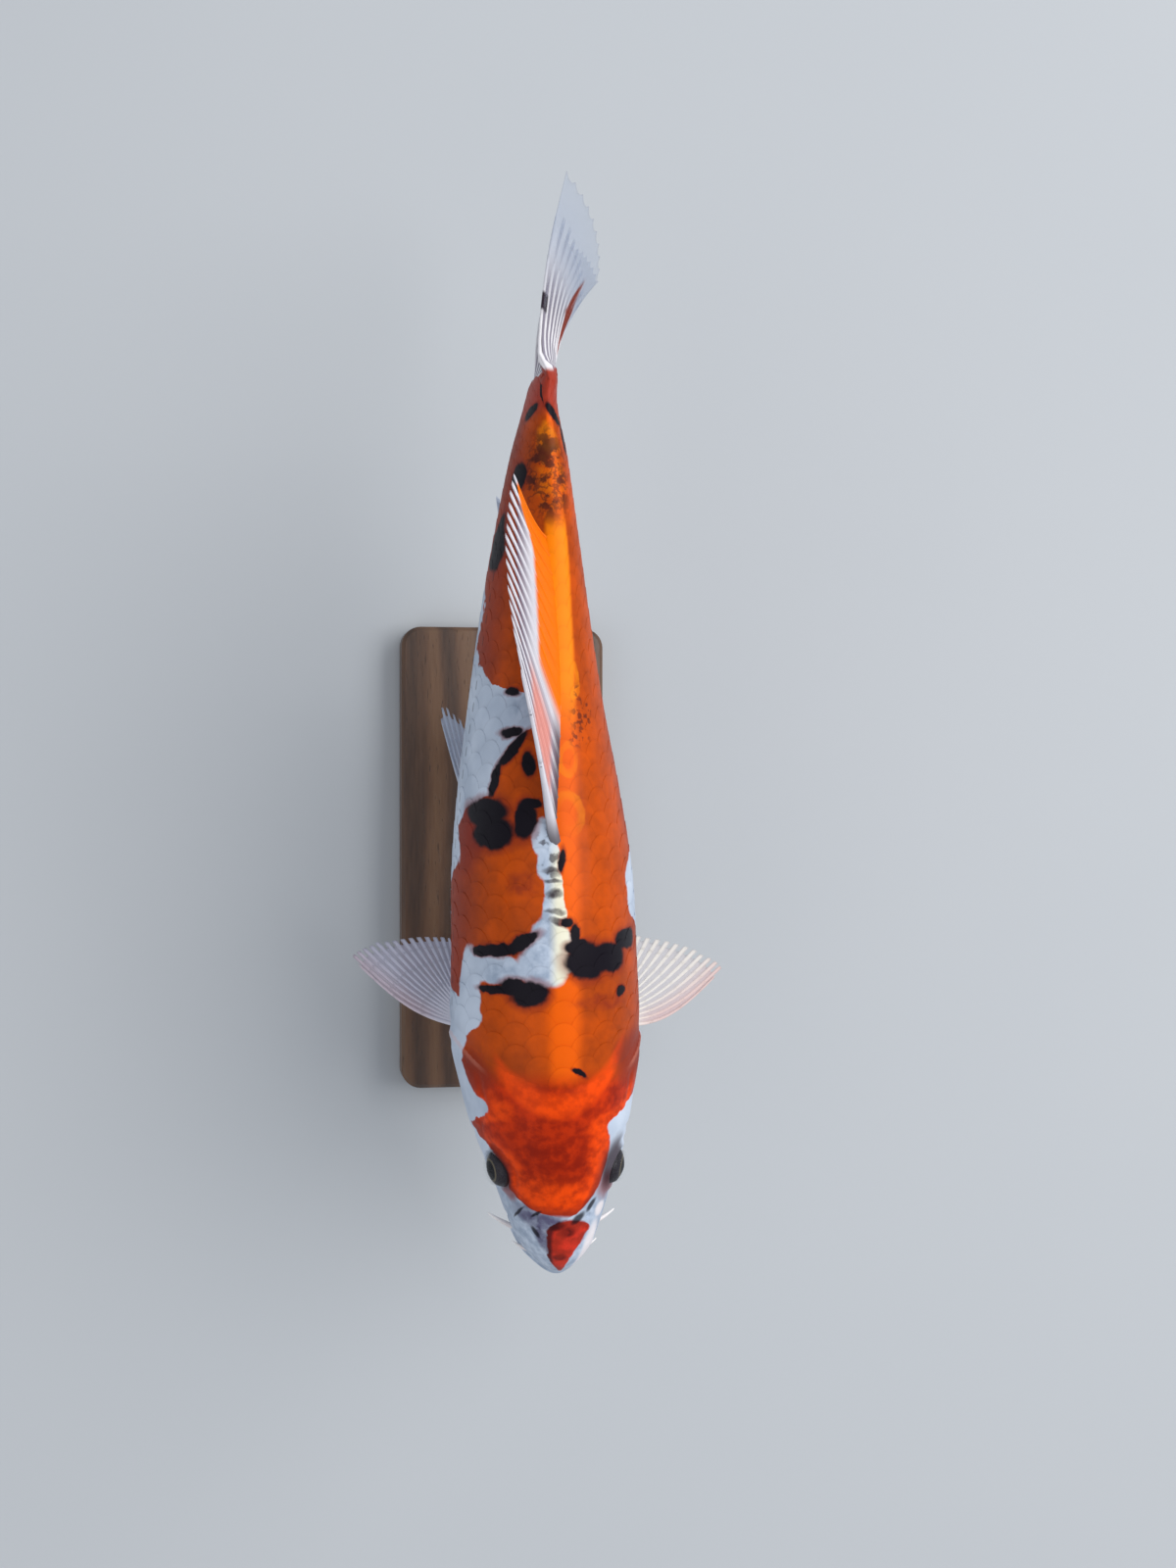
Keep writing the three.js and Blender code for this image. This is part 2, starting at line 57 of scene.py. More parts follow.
class Paint:
    """A shader socket that takes part in sums: each operator adds the Math node that it stands for."""

    def __init__(self, tree, socket=None):
        self.tree = tree
        self.socket = socket

    def node(self, kind, settings=None, inputs=None, output=0):
        """A node of a type, with its settings made first and then its sockets' values or links."""
        made = self.tree.nodes.new(kind)
        for name, value in (settings or {}).items():
            if name == "stops":
                ramp = made.color_ramp
                ramp.elements.remove(ramp.elements[1])
                for index, (place, colour) in enumerate(value):
                    stop = ramp.elements.new(place) if index else ramp.elements[0]
                    stop.position = place
                    stop.color = colour
            elif name == "blend":
                made.color_ramp.interpolation = value
            else:
                setattr(made, name, value)
        for key, value in (inputs or {}).items():
            if isinstance(value, Paint):
                self.tree.links.new(value.socket, made.inputs[key])
            else:
                made.inputs[key].default_value = value
        return Paint(self.tree, made.outputs[output] if len(made.outputs) else None)

    def math(self, operation, *values):
        return self.node("ShaderNodeMath", {"operation": operation}, dict(enumerate(values)))

    def least(self, other):
        return self.math("MINIMUM", self, other)

    def most(self, other):
        return self.math("MAXIMUM", self, other)

    def __abs__(self):
        return self.math("ABSOLUTE", self)

    def smooth(self, low, high):
        """0 up to low and 1 from high on, or the other way round where low is the larger."""
        return self.node("ShaderNodeMapRange", {"interpolation_type": "SMOOTHSTEP"},
                         {"Value": self, "From Min": low, "From Max": high})

    def over(self, upper, lower):
        """The colour upper where this value is 1, and lower where it is 0."""
        return self.node("ShaderNodeMix", {"data_type": "RGBA"}, {0: self, 6: lower, 7: upper}, output=2)

    def vector(self, operation, *values, output=0):
        return self.node("ShaderNodeVectorMath", {"operation": operation}, dict(enumerate(values)), output)

    def dim(self, share):
        """This colour made darker or brighter by a factor."""
        return self.node("ShaderNodeVectorMath", {"operation": "SCALE"}, {0: self, "Scale": share})

    def parts(self, kind="ShaderNodeSeparateXYZ"):
        """The three parts of a vector."""
        outputs = self.node(kind, inputs={0: self}).socket.node.outputs
        return [Paint(self.tree, outputs[index]) for index in range(3)]

    def channels(self):
        """The three parts of a colour."""
        return self.parts("ShaderNodeSeparateColor")

    def joined(self, x, y, z=0):
        return self.node("ShaderNodeCombineXYZ", inputs={0: x, 1: y, 2: z})

    def here(self):
        """Where on the object a point lies."""
        return self.node("ShaderNodeTexCoord", output="Object")

    def stored(self, name, output="Fac"):
        """A value that the vertices carry."""
        return self.node("ShaderNodeAttribute", {"attribute_name": name}, output=output)

    def noise(self, place, scale, detail=2, output=0, **more):
        inputs = {"Vector": place, "Scale": scale, "Detail": detail} | more
        return self.node("ShaderNodeTexNoise", inputs=inputs, output=output)

    def bump(self, height, distance, strength=1):
        return self.node("ShaderNodeBump",
                         inputs={"Strength": strength, "Distance": distance, "Height": height})


for sign, operation in (("add", "ADD"), ("sub", "SUBTRACT"), ("mul", "MULTIPLY"), ("truediv", "DIVIDE")):
    setattr(Paint, f"__{sign}__", lambda self, other, kind=operation: self.math(kind, self, other))
    setattr(Paint, f"__r{sign}__", lambda self, other, kind=operation: self.math(kind, other, self))


def paint_for(name):
    """A new material and the Paint that its nodes are made with."""
    material = bpy.data.materials.new(name)
    material.use_nodes = True
    material.node_tree.nodes.clear()
    return material, Paint(material.node_tree)


def coat_with(paint, inputs):
    """Ends a material in a Principled shader."""
    shader = paint.node("ShaderNodeBsdfPrincipled", inputs=inputs)
    paint.node("ShaderNodeOutputMaterial", inputs={"Surface": shader})


def wear(obj, *materials):
    """Gives an object these materials, in place of any that it has."""
    obj.data.materials.clear()
    for material in materials:
        obj.data.materials.append(material)


hardwood, paint = paint_for("hardwood")
at = paint.here()
length_of_grain = paint.node("ShaderNodeMapping", inputs={"Vector": at, "Scale": (1, 0.09, 1)})
sway = paint.noise(at, 9, 3)
figure = paint.node("ShaderNodeTexWave", {"bands_direction": "X", "wave_profile": "SIN"}, {
    "Vector": length_of_grain, "Scale": 24, "Distortion": 9, "Detail": 3, "Detail Scale": 1.4})
fibre = paint.noise(length_of_grain, 900, 5)
pores = paint.noise(length_of_grain, 1700, 2).smooth(0.66, 0.74)
grain_tones = [(0.1, WOOD_DARK), (0.5, WOOD_MIDDLE), (0.95, WOOD_LIGHT)]
tone = paint.node("ShaderNodeValToRGB", {"stops": grain_tones},
                  {0: figure * 0.5 + fibre * 0.35 + sway * 0.2 - 0.05})
coat_with(paint, {
    "Base Color": (pores * 0.7).over(WOOD_DARK, tone),
    "Roughness": 0.34 + fibre * 0.2 + pores * 0.2,
    "Normal": paint.bump(fibre * 0.3 - pores, 0.15 * MM),
    "Coat Weight": 0.25,
    "Coat Roughness": 0.25,
})
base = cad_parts["stand_base"]
wear(base, hardwood)

# ---- Stand rods ----
# Two straight rods of stainless steel, turned bright and brushed round. Each stands in the base
# through a low turned collar that is pressed over it, and ends inside the fish's belly.
COLLAR_HEIGHT = 3.2 * MM
COLLAR_REACH = 3.6 * MM
RODS = ("stand_rod_front", "stand_rod_rear")
STEEL_BRIGHT = (0.66, 0.66, 0.67, 1)
STEEL_DULL = (0.50, 0.50, 0.52, 1)

steel, paint = paint_for("brushed_steel")
at = paint.here()
rings = paint.noise(paint.node("ShaderNodeMapping", inputs={"Vector": at, "Scale": (1, 1, 60)}), 60, 4)
smudge = paint.noise(at, 40, 3)
coat_with(paint, {
    "Base Color": rings.over(STEEL_BRIGHT, STEEL_DULL),
    "Metallic": 1.0,
    "Roughness": 0.20 + rings * 0.14 + smudge * 0.08,
    "Normal": paint.bump(rings, 0.03 * MM),
})


def finish_mesh(obj_name, build, *materials, smooth=True):
    """A new object from a finished bmesh, with its doubles merged and its faces turned outwards."""
    bmesh.ops.remove_doubles(build, verts=build.verts, dist=1e-7)
    bmesh.ops.recalc_face_normals(build, faces=build.faces)
    mesh = bpy.data.meshes.new(obj_name)
    build.to_mesh(mesh)
    build.free()
    obj = bpy.data.objects.new(obj_name, mesh)
    bpy.context.scene.collection.objects.link(obj)
    wear(obj, *materials)
    for face in mesh.polygons:
        face.use_smooth = smooth
    return obj


for rod_name in RODS:
    low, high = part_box(rod_name)
    wear(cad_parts[rod_name], steel)
    radius = (high.x - low.x) / 2
    top_of_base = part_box("stand_base")[1].z
    ring = bmesh.new()
    profile = [(radius * 1.01, 0), (radius + COLLAR_REACH, 0), (radius + COLLAR_REACH, 0.6),
               (radius * 1.4, 1), (radius * 1.01, 1)]
    corners = [ring.verts.new((out, 0, up * COLLAR_HEIGHT)) for out, up in profile]
    for corner, next_corner in zip(corners, corners[1:] + corners[:1]):
        ring.edges.new((corner, next_corner))
    bmesh.ops.bevel(ring, geom=corners[2:4], affect="VERTICES", offset=0.5 * MM, segments=3, profile=0.5,
                    material=-1)
    bmesh.ops.spin(ring, geom=ring.verts[:] + ring.edges[:], cent=(0, 0, 0), axis=(0, 0, 1),
                   angle=math.tau, steps=64, use_merge=True)
    bmesh.ops.translate(ring, verts=ring.verts,
                        vec=((low.x + high.x) / 2, (low.y + high.y) / 2, top_of_base))
    collar = finish_mesh(rod_name.replace("rod", "collar"), ring, steel, smooth=False)
    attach(collar, "root")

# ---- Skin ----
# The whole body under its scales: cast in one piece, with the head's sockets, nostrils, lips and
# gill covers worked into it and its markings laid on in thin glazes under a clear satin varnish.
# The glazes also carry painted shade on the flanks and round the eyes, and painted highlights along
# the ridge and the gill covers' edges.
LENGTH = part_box("tail_stalk")[1].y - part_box("head")[0].y
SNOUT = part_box("head")[0].y
AXIS = (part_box("tail_fin_upper")[0].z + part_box("tail_fin_lower")[1].z) / 2
COAT_DEPTH = 0.5 * MM
SCALE_BEDDING = 9 * MM  # the length over which the first scales come out of the skin
SKIN_RINGS = 340
SKIN_SIDES = 256
HEAD_CROWDING = 1.35  # how much closer the rings lie in the head

# Body sections, as in the solids: place from the snout, 0, to the end of the tail stalk, 1, then
# half width, back, belly and bend as shares of the length, and the roll in degrees.
SECTIONS = [
    (0.00, 0.024, 0.030, 0.053, 0.0150, 0),
    (0.05, 0.047, 0.053, 0.063, 0.0115, 0),
    (0.11, 0.067, 0.079, 0.079, 0.0085, 0),
    (0.18, 0.090, 0.104, 0.098, 0.0040, 0),
    (0.27, 0.1035, 0.126, 0.118, 0.0000, 0),
    (0.36, 0.1015, 0.141, 0.131, -0.0015, 0),
    (0.45, 0.0985, 0.147, 0.136, -0.0040, 0),
    (0.54, 0.087, 0.138, 0.131, -0.0075, 2),
    (0.63, 0.071, 0.120, 0.116, -0.0105, 6),
    (0.72, 0.057, 0.099, 0.096, -0.0115, 9),
    (0.81, 0.043, 0.079, 0.075, -0.0105, 11),
    (0.90, 0.030, 0.065, 0.060, -0.0080, 5),
    (0.96, 0.017, 0.060, 0.056, -0.0060, 0),
    (1.00, 0.0125, 0.061, 0.057, 0.0000, 0),
]
HALF_WIDTH, BACK, BELLY, BEND, ROLL = range(1, 6)
SIDES = (("left", 1), ("right", -1))
SNOUT_ROUNDING = 0.04
STALK_ROUNDING = 0.02
BELLY_FULLNESS = 0.07

# Lines on the side of the head, as (height, place) or (place, height) in shares of the length.
GILL_EDGE = [(-0.130, 0.185), (-0.100, 0.222), (-0.065, 0.256), (-0.015, 0.272), (0.030, 0.264),
             (0.080, 0.232), (0.130, 0.200)]
COVER_FRONT = [(0.190, -0.098), (0.166, -0.062), (0.158, -0.015), (0.168, 0.032), (0.196, 0.056),
               (0.225, 0.060)]
COVER_SEAM = [(0.172, -0.050), (0.205, -0.062), (0.250, -0.066)]
MOUTH_LINE = [(-0.01, -0.0200), (0.020, -0.0235), (0.040, -0.0305), (0.056, -0.0400)]
LIP_FOLD = [(0.052, -0.030), (0.066, -0.016), (0.068, 0.004)]
JAW_FOLD = [(0.056, -0.042), (0.080, -0.054), (0.110, -0.070), (0.150, -0.086)]
EYE = {"place": 0.125, "side": 0.0565, "height": 0.026, "radius": 0.0225}
EYE_AXIS = np.array([0.93, -0.17, 0.26])
NOSTRILS = [(0.060, 33, 0.75), (0.073, 34, 1.15)]  # place, degrees from the ridge, size in millimetres
BARBEL_ROOTS = [(0.050, 0.0430, -0.024), (0.027, 0.0330, -0.012)]

# Relief in millimetres. Rows give the rise, or for a fold or groove its depth, then how far it lies
# from its line or centre, where it does, and last its breadth.
FOLDS = [(COVER_FRONT, 0.55, 1.3), (COVER_SEAM, 0.35, 1.0), (LIP_FOLD, 0.45, 0.9), (JAW_FOLD, 0.55, 1.0)]
THROAT_FOLD = (0.4, 1.1)
COVER_SWELL = 0.75
COVER_GROOVE = (0.45, 4.5, 1.6)
LIPS = [(1.0, 2.1, 1.3), (-1.9, 0, 0.55), (-0.55, 4.6, 0.9)]  # the lip, the slit and the fold beyond
SOCKET = {"depth": 3.4, "inner": 5.6, "outer": 6.9}
EYELIDS = [(0.65, 7.9, 1.1), (-0.30, 10.6, 1.0)]  # the lid and the fold round it
BARBEL_MOUND = (0.5, 1.8)
GILL_SIDE = 0.72  # the sine of the angle from the ridge beyond which the gill's edge shows
NO_GILL = -99  # stored where it doesn't


def smooth_rows(rows, column, at):
    """One column of a table at the given values of its first, on a smooth curve through the rows."""
    keys = np.array([row[0] for row in rows])
    values = np.array([row[column] for row in rows], float)
    before = np.maximum(np.arange(len(rows)) - 1, 0)
    after = np.minimum(np.arange(len(rows)) + 1, len(rows) - 1)
    slopes = (values[after] - values[before]) / (keys[after] - keys[before])
    i = np.clip(np.searchsorted(keys, at) - 1, 0, len(rows) - 2)
    span = keys[i + 1] - keys[i]
    t = np.clip((at - keys[i]) / span, 0, 1)
    return ((2 * t**3 - 3 * t**2 + 1) * values[i] + (t**3 - 2 * t**2 + t) * span * slopes[i]
            + (3 * t**2 - 2 * t**3) * values[i + 1] + (t**3 - t**2) * span * slopes[i + 1])


def body_point(place, angle):
    """Points of the body's surface. Angle 0 is the back and a quarter turn the fish's left."""
    nose = np.sqrt(1 - (1 - np.clip(place / SNOUT_ROUNDING, 0, 1)) ** 2)
    tail = np.sqrt(1 - (1 - np.clip((1 - place) / STALK_ROUNDING, 0, 1)) ** 2)
    back = smooth_rows(SECTIONS, BACK, place)
    belly = smooth_rows(SECTIONS, BELLY, place)
    width = smooth_rows(SECTIONS, HALF_WIDTH, place) * nose * tail
    across = width * np.sin(angle) * (1 - BELLY_FULLNESS * np.cos(angle))
    up = (back + belly) / 2 * nose * tail * np.cos(angle)
    roll = np.radians(smooth_rows(SECTIONS, ROLL, place))
    return np.stack([
        LENGTH * (smooth_rows(SECTIONS, BEND, place) + across * np.cos(roll) + up * np.sin(roll)),
        SNOUT + LENGTH * place,
        AXIS + LENGTH * ((back - belly) / 2 + up * np.cos(roll) - across * np.sin(roll)),
    ], axis=-1)


def unit(vectors):
    return vectors / np.linalg.norm(vectors, axis=-1, keepdims=True)


def body_normal(place, angle, step=1e-4):
    """The outward direction at points of the body's surface."""
    place = np.clip(place, step / 4, 1 - step / 4)
    behind, ahead = np.minimum(place + step, 1), np.maximum(place - step, 0)
    lengthwise = body_point(behind, angle) - body_point(ahead, angle)
    around = body_point(place, angle + step) - body_point(place, angle - step)
    return unit(np.cross(around, lengthwise))


def smooth_step(value, low, high):
    t = np.clip((value - low) / (high - low), 0, 1)
    return t * t * (3 - 2 * t)


def hump(distance, width):
    """1 at no distance, falling away smoothly within a width."""
    return np.exp(-(distance / width) ** 2)


def line_distance(line, place, height):
    """How far side points are from a line of (place, height) points, in metres."""
    nearest = np.full(place.shape, np.inf)
    for (x0, y0), (x1, y1) in zip(line, line[1:]):
        run, rise = x1 - x0, y1 - y0
        t = np.clip(((place - x0) * run + (height - y0) * rise) / (run * run + rise * rise), 0, 1)
        nearest = np.minimum(nearest, np.hypot(place - x0 - t * run, height - y0 - t * rise))
    return nearest * LENGTH


def behind_gills(place, height):
    """How far side points lie behind the edge of the gill cover, in metres."""
    return (place - smooth_rows(GILL_EDGE, 1, height)) * LENGTH


def head_point(sign, place, across, up):
    """A point in the head, by shares of the length, on its left or right side."""
    bend = smooth_rows(SECTIONS, BEND, place)
    return np.array([LENGTH * (bend + sign * across), SNOUT + LENGTH * place, AXIS + LENGTH * up])


def eye_centre(sign):
    return head_point(sign, EYE["place"], EYE["side"], EYE["height"])


def eye_axis(sign):
    return unit(EYE_AXIS * (sign, 1, 1))


def skin_relief(place, angle, points):
    """How far the finished skin stands out from the plain body, in metres."""
    height = (points[:, 2] - AXIS) / LENGTH
    behind = behind_gills(place, height)
    flank = smooth_step(height, 0.075, 0.045)
    free = smooth_step(behind, 0.4 * MM, -0.5 * MM)
    relief = -COAT_DEPTH * smooth_step(behind, 0, SCALE_BEDDING)
    relief += COVER_SWELL * MM * flank * smooth_step(behind, -22 * MM, -2 * MM) * free
    depth, before, breadth = COVER_GROOVE
    relief -= depth * MM * flank * hump(behind + before * MM, breadth * MM)
    side = smooth_step(np.abs(np.sin(angle)), 0.2, 0.45)
    for line, depth, breadth in FOLDS:
        relief -= depth * MM * side * hump(line_distance(line, place, height), breadth * MM)
    depth, breadth = THROAT_FOLD
    for fold in range(3):
        line = [(0.105 + 0.012 * fold, -0.086 - 0.006 * fold), (0.150, -0.098 - 0.008 * fold),
                (0.195 + 0.006 * fold, -0.112 - 0.006 * fold)]
        relief -= depth * MM * hump(line_distance(line, place, height), breadth * MM)
    mouth = line_distance(MOUTH_LINE, place, height)
    fade = smooth_step(place, 0.066, 0.050)
    for rise, beyond, breadth in LIPS:
        relief += rise * MM * fade * hump(mouth - beyond * MM, breadth * MM)
    for sign in (1, -1):
        away = points - eye_centre(sign)
        axis = eye_axis(sign)
        out = away @ axis
        spread = np.linalg.norm(away - np.outer(out, axis), axis=1)
        near = (out > 0) & (spread < 16 * MM)
        sunk = smooth_step(spread, SOCKET["outer"] * MM, SOCKET["inner"] * MM)
        relief -= near * SOCKET["depth"] * MM * sunk
        for rise, radius, breadth in EYELIDS:
            relief += near * rise * MM * hump(spread - radius * MM, breadth * MM)
        for nostril_place, degrees, size in NOSTRILS:
            middle = body_point(nostril_place, math.radians(sign * degrees))
            apart = np.linalg.norm(points - middle, axis=1)
            relief -= size * MM * hump(apart, size * 0.8 * MM)
            relief += 0.3 * MM * hump(apart - size * 1.5 * MM, 0.6 * MM)
        rise, breadth = BARBEL_MOUND
        for root_at in BARBEL_ROOTS:
            apart = np.linalg.norm(points - head_point(sign, *root_at), axis=1)
            relief += rise * MM * hump(apart, breadth * MM)
    return relief


def coordinates(mesh):
    found = np.empty(len(mesh.vertices) * 3)
    mesh.vertices.foreach_get("co", found)
    return found.reshape(-1, 3)


def place_vertices(mesh, points):
    mesh.vertices.foreach_set("co", points.ravel())
    mesh.update()


def keep(mesh, name, values, kind="FLOAT_VECTOR"):
    """Stores a value for each vertex, for the material to read."""
    layer = mesh.attributes.new(name, kind, "POINT")
    field = "vector" if kind == "FLOAT_VECTOR" else "value"
    layer.data.foreach_set(field, np.asarray(values, float).ravel())


def keep_lie(mesh, place, angle):
    """Stores where each vertex lies on the body."""
    keep(mesh, "lie", np.stack([place, np.sin(angle), np.cos(angle)], axis=-1))


# The markings. An oval is (place, degrees from the ridge, half length, half width in degrees) and,
# where it is turned, its tilt in degrees. An edge is (place, degrees). Degrees grow to the fish's
# left in the ovals, and half lengths are shares of the length.
DEGREES_PER_LENGTH = 470  # so that a tilted oval stays an oval
HEAD_FRONT = 0.0745  # where the head's red begins
RED_EDGE_LEFT = [(0.073, 2), (0.078, 15), (0.085, 24), (0.095, 33), (0.108, 41), (0.135, 45), (0.161, 43),
                 (0.176, 39), (0.188, 52), (0.20, 70), (0.225, 80), (0.27, 84), (0.32, 91), (0.36, 96),
                 (0.385, 80), (0.398, 61), (0.43, 56), (0.462, 60), (0.478, 82), (0.50, 98), (0.58, 102),
                 (0.70, 108), (0.82, 118), (0.92, 140), (1.00, 178)]
RED_EDGE_RIGHT = [(0.073, 2), (0.076, 20), (0.080, 34), (0.091, 50), (0.102, 59), (0.125, 58), (0.147, 66),
                  (0.163, 84), (0.174, 84), (0.182, 66), (0.195, 57), (0.208, 68), (0.235, 76), (0.265, 78),
                  (0.280, 58), (0.305, 60), (0.322, 98), (0.42, 106), (0.452, 82), (0.50, 84), (0.522, 68),
                  (0.533, 52), (0.580, 44), (0.600, 27), (0.610, 9), (0.632, 8), (0.641, 34), (0.650, 66),
                  (0.672, 93), (0.78, 114), (0.92, 140), (1.00, 178)]
NOSE_EDGE_LEFT = [(0.004, 3), (0.008, 8), (0.021, 13), (0.033, 20), (0.042, 30), (0.052, 37), (0.062, 39),
                  (0.070, 24)]
NOSE_EDGE_RIGHT = [(0.004, 5), (0.008, 17), (0.018, 28), (0.037, 26), (0.051, 23), (0.062, 18), (0.070, 9)]
WHITE_GAPS = [(0.322, -66, 0.046, 11), (0.264, -80, 0.040, 8, 40), (0.346, -45, 0.0145, 22, 2),
              (0.354, -13, 0.026, 17), (0.379, -9, 0.026, 13), (0.352, 3, 0.009, 6),
              (0.405, -7, 0.022, 8), (0.430, -7, 0.030, 6.5), (0.462, -10, 0.024, 7.5),
              (0.486, -14, 0.019, 7, 12)]
BLACK_BLOTS = [(0.364, -56, 0.005, 8), (0.366, -42, 0.0066, 12), (0.374, -27, 0.0070, 11, -22),
               (0.321, -22, 0.0145, 11), (0.329, -33, 0.0095, 8), (0.325, -45, 0.0048, 11),
               (0.400, 1, 0.0045, 4), (0.372, 8, 0.008, 8), (0.356, 15, 0.0190, 14),
               (0.385, 6, 0.0140, 3, 6), (0.359, 33, 0.0155, 15), (0.377, 50, 0.011, 12),
               (0.512, -56, 0.0150, 17), (0.489, -49, 0.0165, 16), (0.503, -26, 0.020, 7.5),
               (0.520, -22, 0.006, 7), (0.546, -51, 0.0185, 3.5, 22), (0.578, -39, 0.0265, 3.5, 50),
               (0.596, -43, 0.006, 9), (0.563, -26, 0.011, 5, 25), (0.642, -46, 0.005, 6),
               (0.806, -92, 0.030, 14), (0.877, -65, 0.015, 15), (0.947, -54, 0.0065, 19, -7),
               (0.943, 15, 0.007, 26, 7), (0.968, -31, 0.003, 15, 29), (0.855, 60, 0.010, 4),
               (0.918, 45, 0.018, 8), (0.236, 10, 0.0030, 5, 20), (0.323, 42, 0.006, 4.5),
               (0.463, -1, 0.011, 2.6, 8)]
RIDGE_MARKS = [(0.400, -4, 0.0030, 6), (0.409, -7, 0.0025, 6), (0.426, -7, 0.0045, 5),
               (0.440, -8, 0.0025, 6), (0.453, -8, 0.0030, 5)]
SPECKLES = [(0.614, 17, 0.018, 10), (0.590, 14, 0.008, 8), (0.640, 13, 0.006, 4)]
NOSE_BLACK = [(0.0725, 18, 0.0050, 8, -15), (0.086, 34, 0.0042, 6, -25), (0.056, -38, 0.0045, 5, 25),
              (0.0765, -57, 0.0018, 10, -19), (0.077, -33, 0.0020, 6, -14)]
CROWN = [(0.157, -10, 0.026, 24), (0.110, 0, 0.016, 14)]
NOSE_SHADE = [(0.064, -9, 0.0045, 10), (0.057, 6, 0.0050, 9), (0.026, -6, 0.0030, 11)]
CHEEKS = [(0.248, 62, 0.026, 20), (0.232, -64, 0.020, 14)]
TAIL_YELLOW = [(0.918, -10, 0.011, 17), (0.880, -6, 0.036, 22)]
STAIN = [(0.876, -12, 0.046, 40)]
SMUDGES = [(0.437, -27, 0.010, 8), (0.312, 27, 0.006, 16)]
FLANK_SHADE = [(0.490, -72, 0.036, 16)]
WHITE_SHADE = [(0.375, -14, 0.050, 12), (0.440, -9, 0.05, 8), (0.340, -32, 0.014, 18),
               (0.628, -26, 0.022, 18)]
SNOUT_SHADE = [(0.070, -28, 0.013, 32, 8), (0.050, -30, 0.014, 9, 20)]
PALE_LIPS = [(0.079, 54, 0.008, 9), (0.034, 52, 0.028, 13)]
FIN_FOOT = [(0.470, -10, 0.028, 9)]
EYE_SHADE = [(0.127, -61, 0.021, 9), (0.131, 55, 0.026, 13)]
EYE_FRONT_SHADE = [(0.107, 58, 0.014, 17), (0.098, -62, 0.008, 8)]
RIDGE_LOBES = [(0.512, 4, 0.024, 12), (0.568, 4, 0.018, 9), (0.652, 6, 0.022, 10)]
GILL_EDGE_HIGHLIGHT = (0.88, 0.36, 0.26, 1)
HEAD_BRIGHT = (0.90, 0.070, 0.001, 1)
HEAD_RED = (0.62, 0.036, 0.001, 1)
HEAD_DEEP = (0.24, 0.010, 0.001, 1)
BACK_ORANGE = (0.60, 0.078, 0.001, 1)
RIDGE_ORANGE = (0.88, 0.120, 0.001, 1)
RIDGE_YELLOW = (0.92, 0.255, 0.001, 1)
MAROON = (0.22, 0.018, 0.008, 1)
STALK_RED = (0.38, 0.040, 0.020, 1)
DARK_ORANGE = (0.25, 0.034, 0.003, 1)
NOSE_RED = (0.68, 0.036, 0.016, 1)
BODY_WHITE = (0.61, 0.68, 0.79, 1)
WARM_WHITE = (0.88, 0.83, 0.62, 1)
SHADOW_WHITE = (0.30, 0.37, 0.48, 1)
SNOUT_GREY = (0.105, 0.095, 0.17, 1)
LIP_WHITE = (0.88, 0.80, 0.80, 1)
STALK_WHITE = (0.84, 0.81, 0.83, 1)
NOSE_DEEP = (0.05, 0.004, 0.004, 1)
EYE_SOCKET_SHADE = (0.030, 0.006, 0.010, 1)
RIDGE_INK = (0.045, 0.035, 0.04, 1)
INK = (0.006, 0.004, 0.008, 1)


def ovals(lie, rows):
    """The square of how far out from the nearest oval's centre: 1 on its edge."""
    nearest = None
    for place, degrees, half_length, half_width, *tilt in rows:
        cos, sin = math.cos(math.radians(sum(tilt))), math.sin(math.radians(sum(tilt)))
        along, half_length = place * DEGREES_PER_LENGTH, half_length * DEGREES_PER_LENGTH
        lengthwise = (cos / half_length, sin / half_length, -(along * cos + degrees * sin) / half_length)
        lengthwise = lie.vector("DOT_PRODUCT", lie, lengthwise, output="Value")
        sideways = (-sin / half_width, cos / half_width, (along * sin - degrees * cos) / half_width)
        sideways = lie.vector("DOT_PRODUCT", lie, sideways, output="Value")
        distance = lie.math("MULTIPLY_ADD", lengthwise, lengthwise, sideways * sideways)
        nearest = distance if nearest is None else lie.math("SMOOTH_MIN", nearest, distance, 0.5)
    return nearest


def blots(lie, rows, edge=0.12):
    """1 inside any of the ovals, whose edges fade and whose neighbours flow together."""
    return lie.ovals(rows).smooth((1 + edge) ** 2, (1 - edge) ** 2)


def edge_curve(place, rows):
    """The angle at which a patch ends, in degrees, on a smooth curve through the rows."""
    stops = [(at, (degrees / 180,) * 3 + (1,)) for at, degrees in rows]
    ramp = place.node("ShaderNodeValToRGB", {"stops": stops, "blend": "CARDINAL"}, {0: place})
    return ramp.channels()[0] * 180


Paint.ovals, Paint.blots, Paint.edge_curve = ovals, blots, edge_curve


